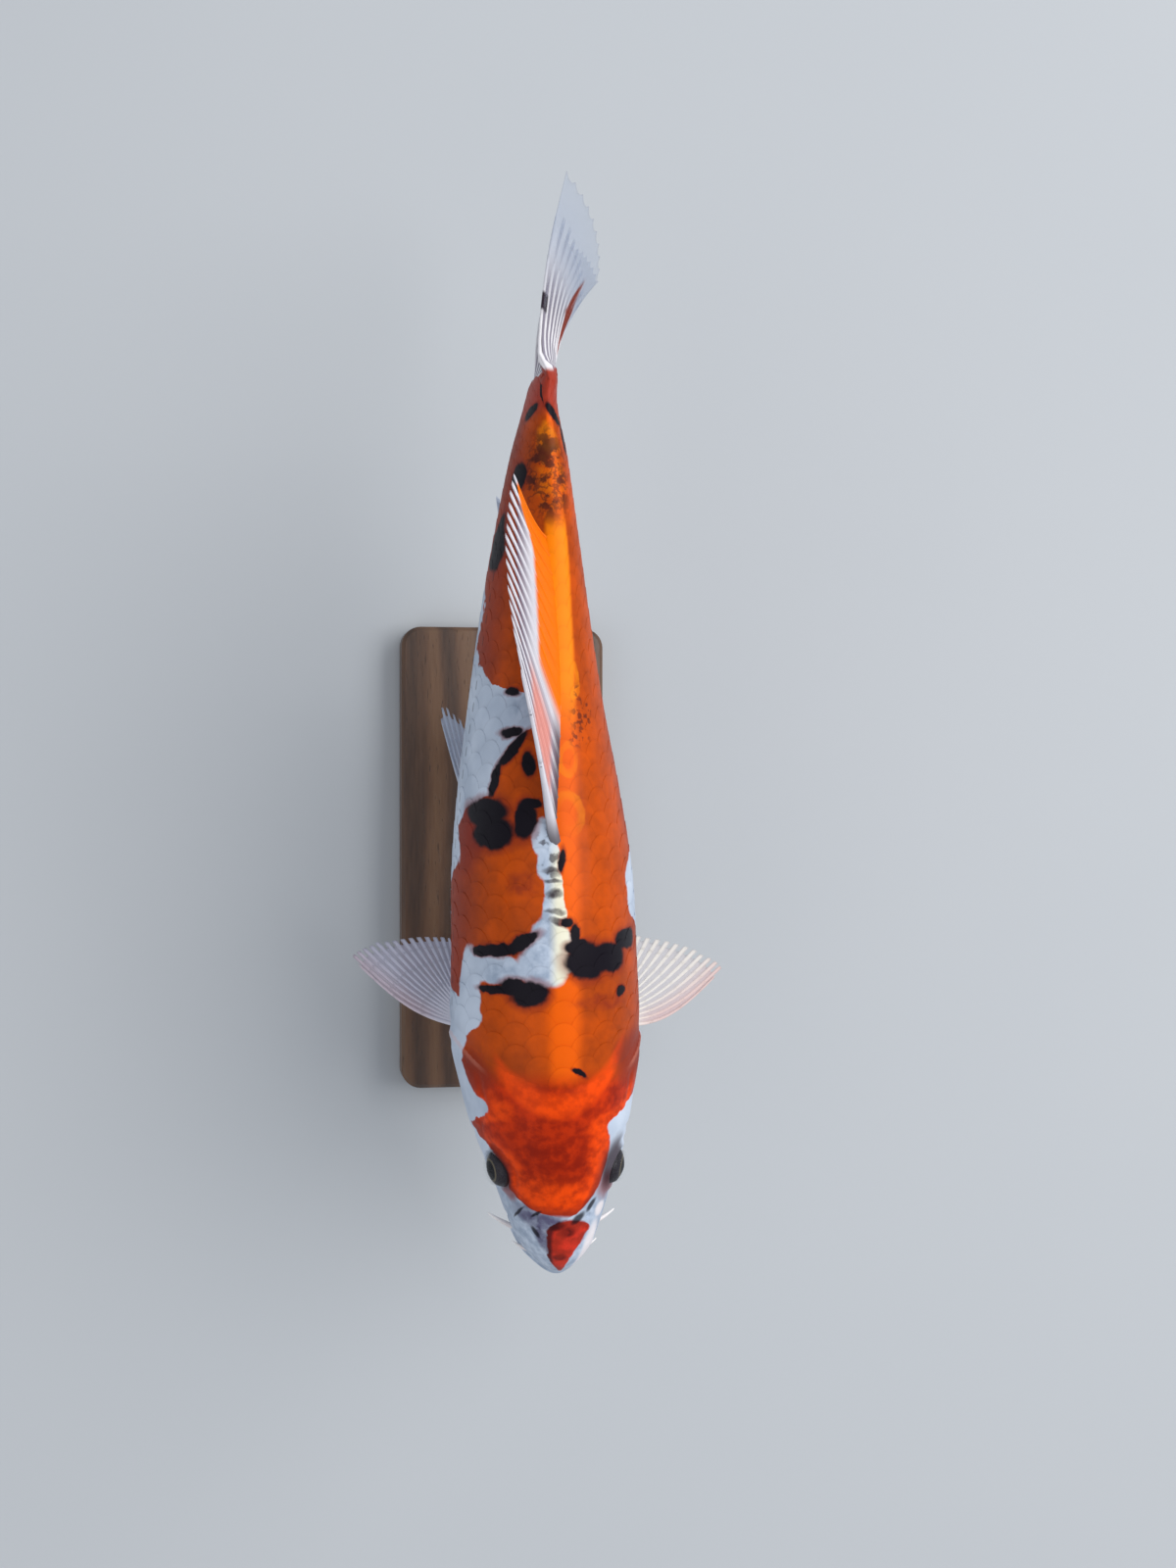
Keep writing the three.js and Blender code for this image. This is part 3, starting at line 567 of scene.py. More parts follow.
def koi_markings(paint):
    """The colour of the body, and the place in space that its grain is read from."""
    at = paint.here()
    place, across, up = paint.stored("lie", "Vector").parts()
    degrees = paint.math("ARCTAN2", across, up) * math.degrees(1)
    coarse_x, coarse_y, _ = paint.noise(at, 75, 3, "Color").channels()
    fine_x, fine_y, _ = paint.noise(at, 420, 3, "Color").channels()
    calm = place.smooth(0.05, 0.20) * 0.7 + 0.3
    sway = abs(degrees).smooth(70, 100) * 45 + 9
    wavy_place = place + ((coarse_x - 0.5) * 8 + (fine_x - 0.5) * 2) * calm / DEGREES_PER_LENGTH
    wavy_degrees = degrees + ((coarse_y - 0.5) * sway + (fine_y - 0.5) * 2.5) * calm
    lie = paint.joined(wavy_place * DEGREES_PER_LENGTH, wavy_degrees, 1)
    mottle = paint.noise(at, 270, 6).smooth(0.32, 0.68)
    clouds = paint.noise(at, 42, 3).smooth(0.35, 0.65)

    # Where the red lies: between two edges along the body, less its white gaps, and on the nose.
    left = wavy_place.edge_curve(RED_EDGE_LEFT) - wavy_degrees
    right = wavy_place.edge_curve(RED_EDGE_RIGHT) + wavy_degrees
    front = (wavy_place - HEAD_FRONT) * DEGREES_PER_LENGTH
    inside = left.least(right).least(front)
    red_share = inside.smooth(-1, 1.5) * (1 - lie.blots(WHITE_GAPS, 0.1))
    nose_right = wavy_place.edge_curve(NOSE_EDGE_RIGHT) + wavy_degrees
    nose_inside = (wavy_place.edge_curve(NOSE_EDGE_LEFT) - wavy_degrees).least(nose_right)
    ragged = (mottle - 0.5) * 0.0012
    nose_share = (nose_inside + ragged * 4000).smooth(-2, 2)
    nose_share = nose_share * (wavy_place + abs(wavy_degrees - 8) * 0.00022 + ragged).smooth(0.0745, 0.0705)
    nose_share = nose_share * place.smooth(0.004, 0.008)

    # The red's tones: deep and clouded on the head, orange on the back, yellow beside the fin.
    head = place.smooth(0.245, 0.215)
    head_tone = (mottle * 0.6 + clouds * 0.4).over(HEAD_RED, HEAD_DEEP)
    head_tone = (lie.blots(CROWN, 0.7) * (0.9 - mottle * 0.5)).over(HEAD_DEEP, head_tone)
    head_tone = (inside.smooth(26, 12) * (mottle * 0.6 + 0.35)).over(HEAD_BRIGHT, head_tone)
    # Painted shade: the head darkens to maroon down its flanks.
    head_tone = (abs(degrees).smooth(56, 84) * 0.75).over(MAROON, head_tone)
    rim_width = degrees.smooth(15, 35) * 8 + 7
    rim = (inside / rim_width).smooth(1, 0.15) * place.smooth(0.16, 0.12)
    head_tone = (rim * 0.8).over(MAROON, head_tone)
    # Painted highlight: a bright orange strip along the ridge.
    ridge = abs(degrees - 1).smooth(14, 5)
    by_fin = place.smooth(0.58, 0.66) * place.smooth(0.84, 0.81)
    back_tone = (clouds * 0.5 + mottle * 0.2).over(DARK_ORANGE, BACK_ORANGE)
    back_tone = (ridge * 0.85).over(RIDGE_ORANGE, back_tone)
    along_fin = degrees.smooth(-26, -18) * degrees.smooth(14, 8) * by_fin
    back_tone = (along_fin * 0.9).over(RIDGE_YELLOW, back_tone)
    lobes = lie.ovals(RIDGE_LOBES)
    lobe_edges = lobes.smooth(1.17, 0.85) * lobes.smooth(0.20, 0.40) * clouds
    back_tone = (lobe_edges * 0.6).over(RIDGE_YELLOW, back_tone)
    tail_end = lie.blots(TAIL_YELLOW, 0.7)
    back_tone = (tail_end * (place.smooth(0.895, 0.91) * 0.5 + mottle * 0.45)).over(RIDGE_YELLOW, back_tone)
    stained = lie.blots(STAIN, 0.4)
    back_tone = (stained * clouds * 0.6).over(DARK_ORANGE, back_tone)
    # Painted shade: the back darkens to maroon down its flanks.
    back_tone = (abs(degrees).smooth(48, 84) * 0.65).over(MAROON, back_tone)
    smudge = lie.blots(SMUDGES, 0.7)
    back_tone = (smudge * (mottle * 0.4 + 0.25)).over(MAROON, back_tone)
    back_tone = (lie.blots(FLANK_SHADE, 0.5) * 0.75).over(MAROON, back_tone)
    back_tone = place.smooth(0.935, 0.955).over(STALK_RED, back_tone)
    red = head.over(head_tone, back_tone)
    off_middle = (degrees + 4) * 0.005
    nape = abs(place - 0.201 - off_middle * off_middle).smooth(0.020, 0.007) * abs(degrees).smooth(50, 38)
    red = (nape * (mottle * 0.4 + 0.5)).over(HEAD_BRIGHT, red)
    red = (lie.blots(CHEEKS, 0.5) * 0.75).over(MAROON, red)

    # The white's tones: cream on the ridge and grey on the snout.
    white = (clouds * 0.45).over(SHADOW_WHITE, BODY_WHITE)
    white = (lie.blots(WHITE_SHADE, 0.5) * (mottle * 0.8 + 0.1)).over(SHADOW_WHITE, white)
    cream = abs(degrees + 1).smooth(10, 2) * place.smooth(0.32, 0.34) * place.smooth(0.49, 0.46)
    white = (cream * 0.9).over(WARM_WHITE, white)
    white = (place.smooth(0.12, 0.08) * (0.85 - mottle * 0.8)).over(SHADOW_WHITE, white)
    white = (lie.blots(SNOUT_SHADE, 0.45) * (1 - mottle * 0.35)).over(SNOUT_GREY, white)
    white = (lie.blots(PALE_LIPS, 0.4) * 0.85).over(LIP_WHITE, white)
    # Painted shade in front of each eye, maroon on the white.
    white = (lie.blots(EYE_FRONT_SHADE, 0.6) * 0.75).over(MAROON, white)
    colour = red_share.over(red, white)

    # The nose patch, the bars on the ridge, the black blots and the fine stains lie over both.
    nose_dark = nose_right.smooth(11, 4) * place.smooth(0.014, 0.022)
    nose_tone = ((0.9 - place.smooth(0.056, 0.068) * 0.6) * (mottle * 0.7 + 0.3)).over(NOSE_RED, MAROON)
    nose_tone = (nose_dark * 0.8).over(INK, nose_tone)
    nose_tone = (lie.blots(NOSE_SHADE, 0.7) * (0.35 + mottle * 0.6)).over(NOSE_DEEP, nose_tone)
    colour = nose_share.over(nose_tone, colour)
    fin_foot = lie.blots(FIN_FOOT, 0.3) * mottle.smooth(0.45, 0.85) * 0.75
    ridge_marks = lie.blots(RIDGE_MARKS, 0.5) * (0.65 + mottle * 0.35)
    colour = (ridge_marks.most(fin_foot) * (1 - red_share)).over(RIDGE_INK, colour)
    ink = lie.ovals(BLACK_BLOTS)
    colour = (ink.smooth(2.6, 1.0) * 0.6).over(MAROON, colour)
    speckles = lie.blots(SPECKLES, 0.7) * paint.noise(at, 480, 4).smooth(0.50, 0.58)
    veins = abs(paint.noise(at, 230, 7) - 0.5).smooth(0.060, 0.0) * 0.75
    veins = veins.most(paint.noise(at, 190, 7).smooth(0.50, 0.58))
    dark = ink.smooth(1.4, 0.75).most(lie.blots(NOSE_BLACK, 0.45) * 0.9)
    colour = dark.most((speckles * 0.65).most(stained * veins * 0.8)).over(INK, colour)
    stalk_end = (place + (coarse_x - 0.5) * 0.012 + (fine_x - 0.5) * 0.010).smooth(0.989, 0.993)
    return stalk_end.over(STALK_WHITE, colour), lie, at


KOI_GLOSS = {"Specular IOR Level": 0.09, "Coat Weight": 0.04, "Coat Roughness": 0.18}
koi_skin, paint = paint_for("koi_skin")
colour, lie, at = koi_markings(paint)
gill = paint.stored("gill")
grain = paint.noise(at, 900, 3)
pits = paint.noise(at, 260, 4)
# Painted shade: dark brown in the eye sockets, between the head's red and each eye.
colour = (lie.blots(EYE_SHADE, 0.4) * 0.88).over(EYE_SOCKET_SHADE, colour)
# Painted highlight: a pale line along the gill cover's rear edge.
gill_highlight = gill.smooth(-3.2, -1.0) * gill.smooth(0.2, -0.4) * abs(lie.parts()[1]).smooth(50, 62)
colour = (gill_highlight * 0.22).over(GILL_EDGE_HIGHLIGHT, colour)
coat_with(paint, {
    "Base Color": colour,
    "Roughness": 0.40 + grain * 0.14,
    "Normal": paint.bump(grain * 0.25 + pits * 0.6, 0.2 * MM),
} | KOI_GLOSS)

ball = bmesh.new()
bmesh.ops.create_uvsphere(ball, u_segments=SKIN_SIDES, v_segments=SKIN_RINGS, radius=1)
skin = finish_mesh("skin", ball, koi_skin)
on_ball = coordinates(skin.data)
ring_share = (np.arccos(np.clip(on_ball[:, 2], -1, 1)) / math.pi) ** HEAD_CROWDING
place = (1 - np.cos(math.pi * ring_share)) / 2
angle = np.arctan2(on_ball[:, 0], -on_ball[:, 1])
plain = body_point(place, angle)
place_vertices(skin.data, plain + body_normal(place, angle) * skin_relief(place, angle, plain)[:, None])
keep_lie(skin.data, place, angle)
behind = behind_gills(place, (plain[:, 2] - AXIS) / LENGTH) / MM
keep(skin.data, "gill", np.where(np.abs(np.sin(angle)) > GILL_SIDE, behind, NO_GILL), "FLOAT")
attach(skin, "root")
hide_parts("head", "lower_jaw", "gill_cover_left", "gill_cover_right", "trunk_front", "trunk_rear",
            "tail_stalk")

# ---- Scales ----
# Large round-edged scales in 24 rows of up to 37, each a thin curved plate bedded at its root in the
# skin, its free rear edge lying over the two behind it. The row along each flank carries pores.
SCALE_ROWS = 24
SCALES_IN_ROW = 37
SCALE_PITCH = [(0, 0.178), (9, 0.395), (18, 0.620), (27, 0.825), (38, 0.990)]  # number and place
SCALE_LENGTH = 1.75  # in pitches
SCALE_WIDTH = 1.42  # in rows
SCALE_THICKNESS = 0.11 * MM
ROOT_DEPTH = -0.36 * MM
EDGE_LIFT = 0.03 * MM
SCALE_BOW = 1.5  # how soon along its length a scale has risen
SCALE_DROOP = 0.07 * MM  # how much lower its sides lie than its middle
PATCH = 0.8  # how much of its cell a scale's colour patch takes
UNDERSIDE_PATCH = 0.93  # how much of that its underside takes
SHARP_EDGE = math.radians(50)
TALLEST_BACK = 0.147  # the greatest height of the back, whose scales lie thickest
THINNEST_COAT = 0.45  # how thick they would lie where the back had no height, as a share of that
FIRST_SCALE = -5 * MM  # the first roots lie up to this far under the gill cover's edge

koi_scale, paint = paint_for("koi_scale")
colour, lie, at = koi_markings(paint)
lengthwise, sideways, tint = paint.stored("plate", "Vector").parts()
radius = paint.math("SQRT", lengthwise * lengthwise + sideways * sideways)
# Each scale is drawn darker along its free rim and, as painted shade, towards its root, where it lies under
# the scale before it.
rim_shade = radius.smooth(0.90, 0.99) * lengthwise.smooth(-0.2, 0.3) * 0.10
rim_shade = rim_shade + lengthwise.smooth(0.30, -0.30) * 0.06
shaded = colour.dim(1.02 - rim_shade - tint * 0.05)
pore = paint.stored("pore")
slot_mark = pore * abs(sideways).smooth(0.13, 0.06)
slot_mark = slot_mark * lengthwise.smooth(0.15, 0.25) * lengthwise.smooth(0.75, 0.6)
growth = paint.math("SINE", radius * 60)
grain = paint.noise(at, 900, 3)
coat_with(paint, {
    "Base Color": (slot_mark * 0.45).over(INK, shaded),
    "Roughness": 0.38 + grain * 0.14,
    "Normal": paint.bump(growth * 0.12 + grain * 0.4 - slot_mark * 2, 0.04 * MM),
} | KOI_GLOSS)


def verts_in(items):
    return [item for item in items if isinstance(item, bmesh.types.BMVert)]


dice = random.Random(7)
for side_name, sign in SIDES:
    sheet = bmesh.new()
    bmesh.ops.create_grid(sheet, x_segments=6, y_segments=5, size=1)
    for vert in sheet.verts:
        x, y, _ = vert.co
        vert.co.x = x * math.sqrt(1 - y * y / 2)
        vert.co.y = y * math.sqrt(1 - x * x / 2)
    layers = sheet.verts.layers.float
    local_x, local_y, tints, pores, cell_x, cell_y = [
        layers.new(name) for name in ("local_x", "local_y", "tint", "pore", "cell_x", "cell_y")]
    for vert in sheet.verts:
        x, y = vert.co.x, vert.co.y
        vert[local_x], vert[local_y] = x, y
        risen = 1 - (0.5 - x / 2) ** SCALE_BOW
        vert.co.z = ROOT_DEPTH + (EDGE_LIFT - ROOT_DEPTH) * risen - SCALE_DROOP * y * y
        vert.co.x = (x + 1) / 2 * SCALE_LENGTH
        vert.co.y = y / 2 * SCALE_WIDTH
    top = sheet.faces[:]
    lower = bmesh.ops.extrude_face_region(sheet, geom=top, use_keep_orig=True)["geom"]
    for vert in verts_in(lower):
        vert.co.z -= SCALE_THICKNESS
        vert[local_x] *= UNDERSIDE_PATCH
        vert[local_y] *= UNDERSIDE_PATCH
    bmesh.ops.dissolve_faces(sheet, faces=[face for face in lower if isinstance(face, bmesh.types.BMFace)])
    for edge in sheet.edges:
        edge.smooth = edge.calc_face_angle(0) < SHARP_EDGE
    template = sheet.verts[:] + sheet.edges[:] + sheet.faces[:]
    for row in range(SCALE_ROWS // 2 + 1):
        if sign < 0 and row in (0, SCALE_ROWS // 2):
            continue  # the ridge's and the belly's rows belong to the left side
        for number in range(SCALES_IN_ROW):
            column = number + 0.5 * (row % 2)
            root_place = smooth_rows(SCALE_PITCH, 1, column)
            turn = sign * row * math.tau / SCALE_ROWS
            root_height = (body_point(root_place, turn)[2] - AXIS) / LENGTH
            tint_of_scale = dice.random()
            if behind_gills(root_place, root_height) < FIRST_SCALE:
                continue
            copied = bmesh.ops.duplicate(sheet, geom=template)["geom"]
            verts = verts_in(copied)
            bmesh.ops.translate(sheet, verts=verts, vec=(column, sign * row, 0))
            for vert in verts:
                vert[tints] = tint_of_scale
                vert[pores] = row == SCALE_ROWS // 4
                vert[cell_x] = column
                vert[cell_y] = row
    bmesh.ops.delete(sheet, geom=verts_in(template), context="VERTS")
    scales = finish_mesh(f"scales_{side_name}", sheet, koi_scale)
    flat = coordinates(scales.data)
    place = np.clip(smooth_rows(SCALE_PITCH, 1, flat[:, 0]), 0, 0.998)
    angle = flat[:, 1] * math.tau / SCALE_ROWS
    girth_share = smooth_rows(SECTIONS, BACK, place) / TALLEST_BACK
    raised = flat[:, 2] * (THINNEST_COAT + (1 - THINNEST_COAT) * girth_share)
    place_vertices(scales.data, body_point(place, angle) + body_normal(place, angle) * raised[:, None])
    keep_lie(scales.data, place, angle)
    stored = {name: np.array([item.value for item in scales.data.attributes[name].data])
              for name in ("local_x", "local_y", "tint", "cell_x", "cell_y")}
    keep(scales.data, "plate", np.stack([stored["local_x"], stored["local_y"], stored["tint"]], axis=-1))
    patches = scales.data.uv_layers.new(name="OFBake")
    corner = np.empty(len(scales.data.loops), int)
    scales.data.loops.foreach_get("vertex_index", corner)
    u = (stored["cell_x"] + 0.5 + stored["local_x"] * PATCH / 2) / (SCALES_IN_ROW + 1)
    v = (stored["cell_y"] + 0.5 + stored["local_y"] * PATCH / 2) / (SCALE_ROWS // 2 + 1)
    patches.data.foreach_set("uv", np.stack([u[corner], v[corner]], axis=-1).ravel())
    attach(scales, "root")

# ---- Eyes ----
# Each eye is a dark ball with a wide pupil, a thin brassy ring and a silvery lower iris, set in its
# socket under a clear domed lens of cast resin that stands a little proud of the head.
# Sizes as shares of the eye's radius.
BALL_SIZE = 0.97
BALL_FLATTENING = 0.10  # how much lower the front of the ball lies
LENS_SIZE = 0.955
LENS_RISE = 0.19  # how far the front of the lens stands out
LENS_PALE = (0.62, 0.70, 0.78, 1)
LENS_BLUE = (0.50, 0.57, 0.64, 1)
IRIS_SILVER = (0.20, 0.20, 0.19, 1)
IRIS_DARK = (0.012, 0.008, 0.014, 1)
RING_GOLD = (0.15, 0.125, 0.08, 1)
BALL_BROWN = (0.030, 0.008, 0.008, 1)
PUPIL_BLACK = (0.003, 0.003, 0.005, 1)

eye_paint, paint = paint_for("koi_eye")
facing, turned, raised = paint.stored("gaze", "Vector").parts()
streaks = paint.noise(paint.joined(turned * 9, raised * 9, facing), 3, 4)
iris = (raised.smooth(-0.30, 0.04) * 0.92 + streaks.smooth(0.5, 0.75) * 0.3).over(IRIS_DARK, IRIS_SILVER)
iris = ((facing + streaks * 0.05).smooth(0.80, 0.815) * 0.75).over(RING_GOLD, iris)
tone = facing.smooth(0.28, 0.36).over(iris, BALL_BROWN)
coat_with(paint, {
    "Base Color": facing.smooth(0.835, 0.85).over(PUPIL_BLACK, tone),
    "Roughness": 0.35 + streaks * 0.1,
    "Specular IOR Level": 0.1,
    "Normal": paint.bump(streaks, 0.1 * MM),
    "Coat Weight": 0.1,
    "Coat Roughness": 0.1,
})
lens_paint, paint = paint_for("koi_eye_lens")
facing, turned, raised = paint.stored("gaze", "Vector").parts()
haze = paint.noise(paint.here(), 300, 3)
coat_with(paint, {
    "Base Color": haze.over(LENS_PALE, LENS_BLUE),
    "Roughness": 0.05 + haze * 0.03,
    "Alpha": facing.smooth(0.80, 0.50) * raised.smooth(0.05, -0.30) * 0.35 + 0.01,
    "Specular IOR Level": 0.3,
    "Coat Weight": 0.7,
    "Coat Roughness": 0.03,
})


def globe(name, sign, material, reshape):
    """A ball in one eye's place, its pole facing out and its surface reshaped by how far it faces out."""
    build = bmesh.new()
    bmesh.ops.create_uvsphere(build, u_segments=64, v_segments=48, radius=1)
    obj = finish_mesh(name, build, material)
    ball = coordinates(obj.data)
    axis = eye_axis(sign)
    side = unit(np.cross((0, 0, 1), axis))
    upright = np.cross(axis, side)
    gaze = ball[:, [2, 0, 1]]
    out = (gaze[:, :1] * axis + gaze[:, 1:2] * side + gaze[:, 2:] * upright) * reshape(gaze[:, :1])
    place_vertices(obj.data, eye_centre(sign) + out * EYE["radius"] * LENGTH)
    keep(obj.data, "gaze", gaze)
    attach(obj, "root")
    return obj


for side_name, sign in SIDES:
    eyeball = globe(f"eyeball_{side_name}", sign, eye_paint,
                    lambda facing: BALL_SIZE - BALL_FLATTENING * smooth_step(facing, 0.55, 1.0))
    globe(f"eye_lens_{side_name}", sign, lens_paint,
          lambda facing: LENS_SIZE + LENS_RISE * smooth_step(facing, 0.35, 1.0))
    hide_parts(f"eye_{side_name}")

# ---- Barbels ----
# Two pairs of soft tapered feelers, cast with the head and tinted flesh pink at their roots: a
# long pair at the corners of the mouth and a short pair on the upper lip.
BARBELS = [
    ("rear", BARBEL_ROOTS[0], (9.5, 4.6, -2.4), 1.1),
    ("front", BARBEL_ROOTS[1], (4.8, 2.4, -2.0), 0.75),
]  # root, and reach and thickness in millimetres
FEELER_WHITE = (0.90, 0.88, 0.86, 1)
FEELER_PINK = (0.74, 0.60, 0.58, 1)


def add_tube(build, sides, cuts):
    """A straight closed tube of radius and length 1, with rings of vertices along it."""
    bmesh.ops.create_cone(build, segments=sides, radius1=1, radius2=1, depth=1, cap_ends=True)
    rails = [edge for edge in build.edges if abs(edge.verts[0].co.z - edge.verts[1].co.z) > 0.5]
    bmesh.ops.subdivide_edges(build, edges=rails, cuts=cuts, use_grid_fill=True)


feeler_paint, paint = paint_for("feeler")
at = paint.here()
along = paint.stored("along")
grain = paint.noise(at, 700, 3)
coat_with(paint, {
    "Base Color": (along * 0.8 + grain * 0.2).over(FEELER_WHITE, FEELER_PINK),
    "Roughness": 0.35 + grain * 0.15,
    "Normal": paint.bump(grain, 0.1 * MM),
    "Coat Weight": 0.3,
    "Coat Roughness": 0.15,
})

for pair_name, root_at, reach, thickness in BARBELS:
    for side_name, sign in SIDES:
        stem = bmesh.new()
        add_tube(stem, 14, 18)
        barbel = finish_mesh(f"feeler_{pair_name}_{side_name}", stem, feeler_paint)
        straight = coordinates(barbel.data)
        t = straight[:, 2:] + 0.5
        root = head_point(sign, *root_at)
        whole = np.array(reach) * (sign, 1, 1) * MM
        start, tip = root - 0.5 * whole, root + whole
        turn = root + 0.4 * whole - np.array([0, 0.12 * np.linalg.norm(whole), 0])
        centre = (1 - t) ** 2 * start + 2 * t * (1 - t) * turn + t**2 * tip
        heading = unit(2 * (1 - t) * (turn - start) + 2 * t * (tip - turn))
        level = unit(np.cross(heading, (0, 0, 1)))
        upright = np.cross(level, heading)
        width = thickness * MM * (1.05 - 0.75 * t ** 1.5) * np.sqrt(np.clip((1.001 - t) / 0.06, 0, 1))
        place_vertices(barbel.data, centre + width * (straight[:, :1] * level + straight[:, 1:2] * upright))
        keep(barbel.data, "along", t, "FLOAT")
        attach(barbel, "root")
        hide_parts(f"barbel_{pair_name}_{side_name}")

# ---- Fins ----
# Each fin is a thin cast web carried on jointed rays, which fork once or more on their way out and
# end in free soft tips. Web and rays are one casting, glazed thinly so that light comes through.
RAY_SIDES = 6
RAY_CUTS = 5
WEB_STEPS = 26
JOINT_GREY = (0.45, 0.38, 0.40, 1)
FIN_GLOSS = {"Specular IOR Level": 0.14, "Coat Weight": 0.05, "Coat Roughness": 0.25}
RAY_SPREADS = (0, 0.24, 0.42, 0.56)  # how far the forks of a ray spread, as shares of the rays' spacing
RAY_UNEVENNESS = 0.012  # how much longer or shorter one ray may be than the next
RAY_TAPER = 0.8  # below 1, a ray thins faster near its root
FORK_OVERLAP = 0.02  # how far a twig starts inside the one that it grows from
WEB_MARGIN = 0.012  # how far the web ends before the rays
WEB_SCALLOP = 0.7  # below 1, the notches between the rays are broader


def lay_on(surface, s, t, across, out, step=1e-3):
    """Points off a fin's middle surface, by distances across the rays and out from it."""
    over_rays = unit(surface(s + step, t) - surface(s - step, t))
    with_rays = unit(surface(s, t + step) - surface(s, t - step))
    return surface(s, t) + over_rays * across[:, None] + unit(np.cross(over_rays, with_rays)) * out[:, None]


def lerp(a, b, share):
    return a + (b - a) * share


def make_fin(name, nodes, surface, rays, materials, forks=(0.5, 0.78), notch=0.05, root=1.5, edge=0.30,
             flesh=(-0.15, 0.35), stem=0.6, tip=0.24, lead=1.7, swell=0.0, ray_end=1.0, seed=1):
    """A fin over surface(s, t): s from the first ray to the last, t from root to tip.

    Thicknesses are in millimetres. The web thins from root to edge between the two values of t in
    flesh and dips by notch between the rays. Rays fork at the values of t in forks and end at
    ray_end, tapering from radius stem to tip. The first is lead times as thick and swells at its root.
    """
    dice = random.Random(seed)
    fin = bmesh.new()
    s_layer = fin.verts.layers.float.new("over_rays")
    t_layer = fin.verts.layers.float.new("with_rays")
    add_tube(fin, RAY_SIDES, RAY_CUTS)
    for face in fin.faces:
        face.material_index = 1
    twig_shape = fin.verts[:] + fin.edges[:] + fin.faces[:]
    web = bmesh.ops.create_grid(fin, x_segments=(rays - 1) * 6, y_segments=WEB_STEPS, size=0.5)["verts"]
    web_faces = list({face for vert in web for face in vert.link_faces})
    for vert in web:
        s = vert.co.x + 0.5
        gap = abs(math.sin(math.pi * s * (rays - 1))) ** WEB_SCALLOP
        t = (vert.co.y + 0.5) * (1 - notch * gap - WEB_MARGIN)
        vert[s_layer], vert[t_layer] = s, t
        rim = 1 - 0.5 * abs(2 * s - 1) ** 8
        thickness = max(lerp(root, edge, smooth_step(t, *flesh)) * rim, edge) * MM
        vert.co = (0, thickness / 2, 0)
    lower = bmesh.ops.extrude_face_region(fin, geom=web_faces, use_keep_orig=True)["geom"]
    for vert in verts_in(lower):
        vert.co.y = -vert.co.y
    stops = (0, *forks, ray_end)
    for ray in range(rays):
        middle = ray / (rays - 1)
        reach = 1 + dice.uniform(-RAY_UNEVENNESS, RAY_UNEVENNESS)
        girth = lead if ray == 0 else 1
        for level in range(len(stops) - 1):
            count = 1 if ray == 0 else 2 ** level
            for twig in range(count):
                if ray == 0 and level:
                    before = after = 0
                else:
                    after = ((twig + 0.5) / count - 0.5) * RAY_SPREADS[level]
                    parents = max(count // 2, 1)
                    before = ((twig // 2 + 0.5) / parents - 0.5) * RAY_SPREADS[max(level - 1, 0)]
                thin = [lerp(stem, tip, stops[level + end] ** RAY_TAPER) * girth for end in (0, 1)]
                copied = bmesh.ops.duplicate(fin, geom=twig_shape)["geom"]
                for vert in verts_in(copied):
                    w = vert.co.z + 0.5
                    offset = lerp(before, after, w * w * (3 - 2 * w)) / (rays - 1)
                    s = min(max(middle + offset, 0), 1)
                    t = lerp(stops[level] - (FORK_OVERLAP if level else 0), stops[level + 1] * reach, w)
                    vert[s_layer], vert[t_layer] = s, t
                    blunt = 1 if level < len(stops) - 2 else math.sqrt(max(1 - w ** 8, 0.05))
                    radius = lerp(thin[0], thin[1], w) * blunt * MM
                    if ray == 0:
                        radius *= 1 + swell * smooth_step(t, 0.5, 0.05)
                    vert.co = (vert.co.x * radius, vert.co.y * radius, 0)
    bmesh.ops.delete(fin, geom=verts_in(twig_shape), context="VERTS")
    mesh = bpy.data.meshes.new(name)
    fin.to_mesh(mesh)
    fin.free()
    flat = coordinates(mesh)
    s, t = [np.array([item.value for item in mesh.attributes[key].data])
            for key in ("over_rays", "with_rays")]
    place_vertices(mesh, lay_on(surface, s, t, flat[:, 0], flat[:, 1]))
    build = bmesh.new()
    build.from_mesh(mesh)
    bpy.data.meshes.remove(mesh)
    obj = finish_mesh(name, build, *materials)
    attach(obj, "root")
    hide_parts(*nodes)


def fin_paints(name, rays, tone, clearness, ray_tone, softness=0.0):
    """A fin's two materials, its web and its rays. Each tone makes a colour from s, t and gap, which is 0
    on a ray and 1 midway between two. Softness is how clear the rays' tips grow."""
    made = []
    for part in ("web", "ray"):
        material, paint = paint_for(f"{name}_{part}")
        at = paint.here()
        s, t = paint.stored("over_rays"), paint.stored("with_rays")
        gap = abs(paint.math("SINE", s * (math.pi * (rays - 1))))
        lines = paint.noise(paint.joined(s * 170, t * 5), 1, 3)
        if part == "web":
            coat_with(paint, {
                "Base Color": tone(paint, s, t, gap.smooth(0.35, 0.85), lines),
                "Alpha": clearness(paint, s, t, gap.smooth(0.30, 0.90), lines),
                "Roughness": 0.38 + lines * 0.2,
                "Normal": paint.bump(lines, 0.2 * MM),
            } | FIN_GLOSS)
        else:
            joints = paint.math("SINE", t * 240).smooth(0.6, 0.95)
            grain = paint.noise(at, 800, 2)
            coat_with(paint, {
                "Base Color": (joints * 0.12).over(JOINT_GREY, ray_tone(paint, s, t, lines)),
                "Roughness": 0.40 + grain * 0.15,
                "Alpha": 1 - t.smooth(0.45, 0.80) * softness,
                "Normal": paint.bump(grain * 0.5 - joints, 0.08 * MM),
            } | FIN_GLOSS)
        made.append(material)
    return made


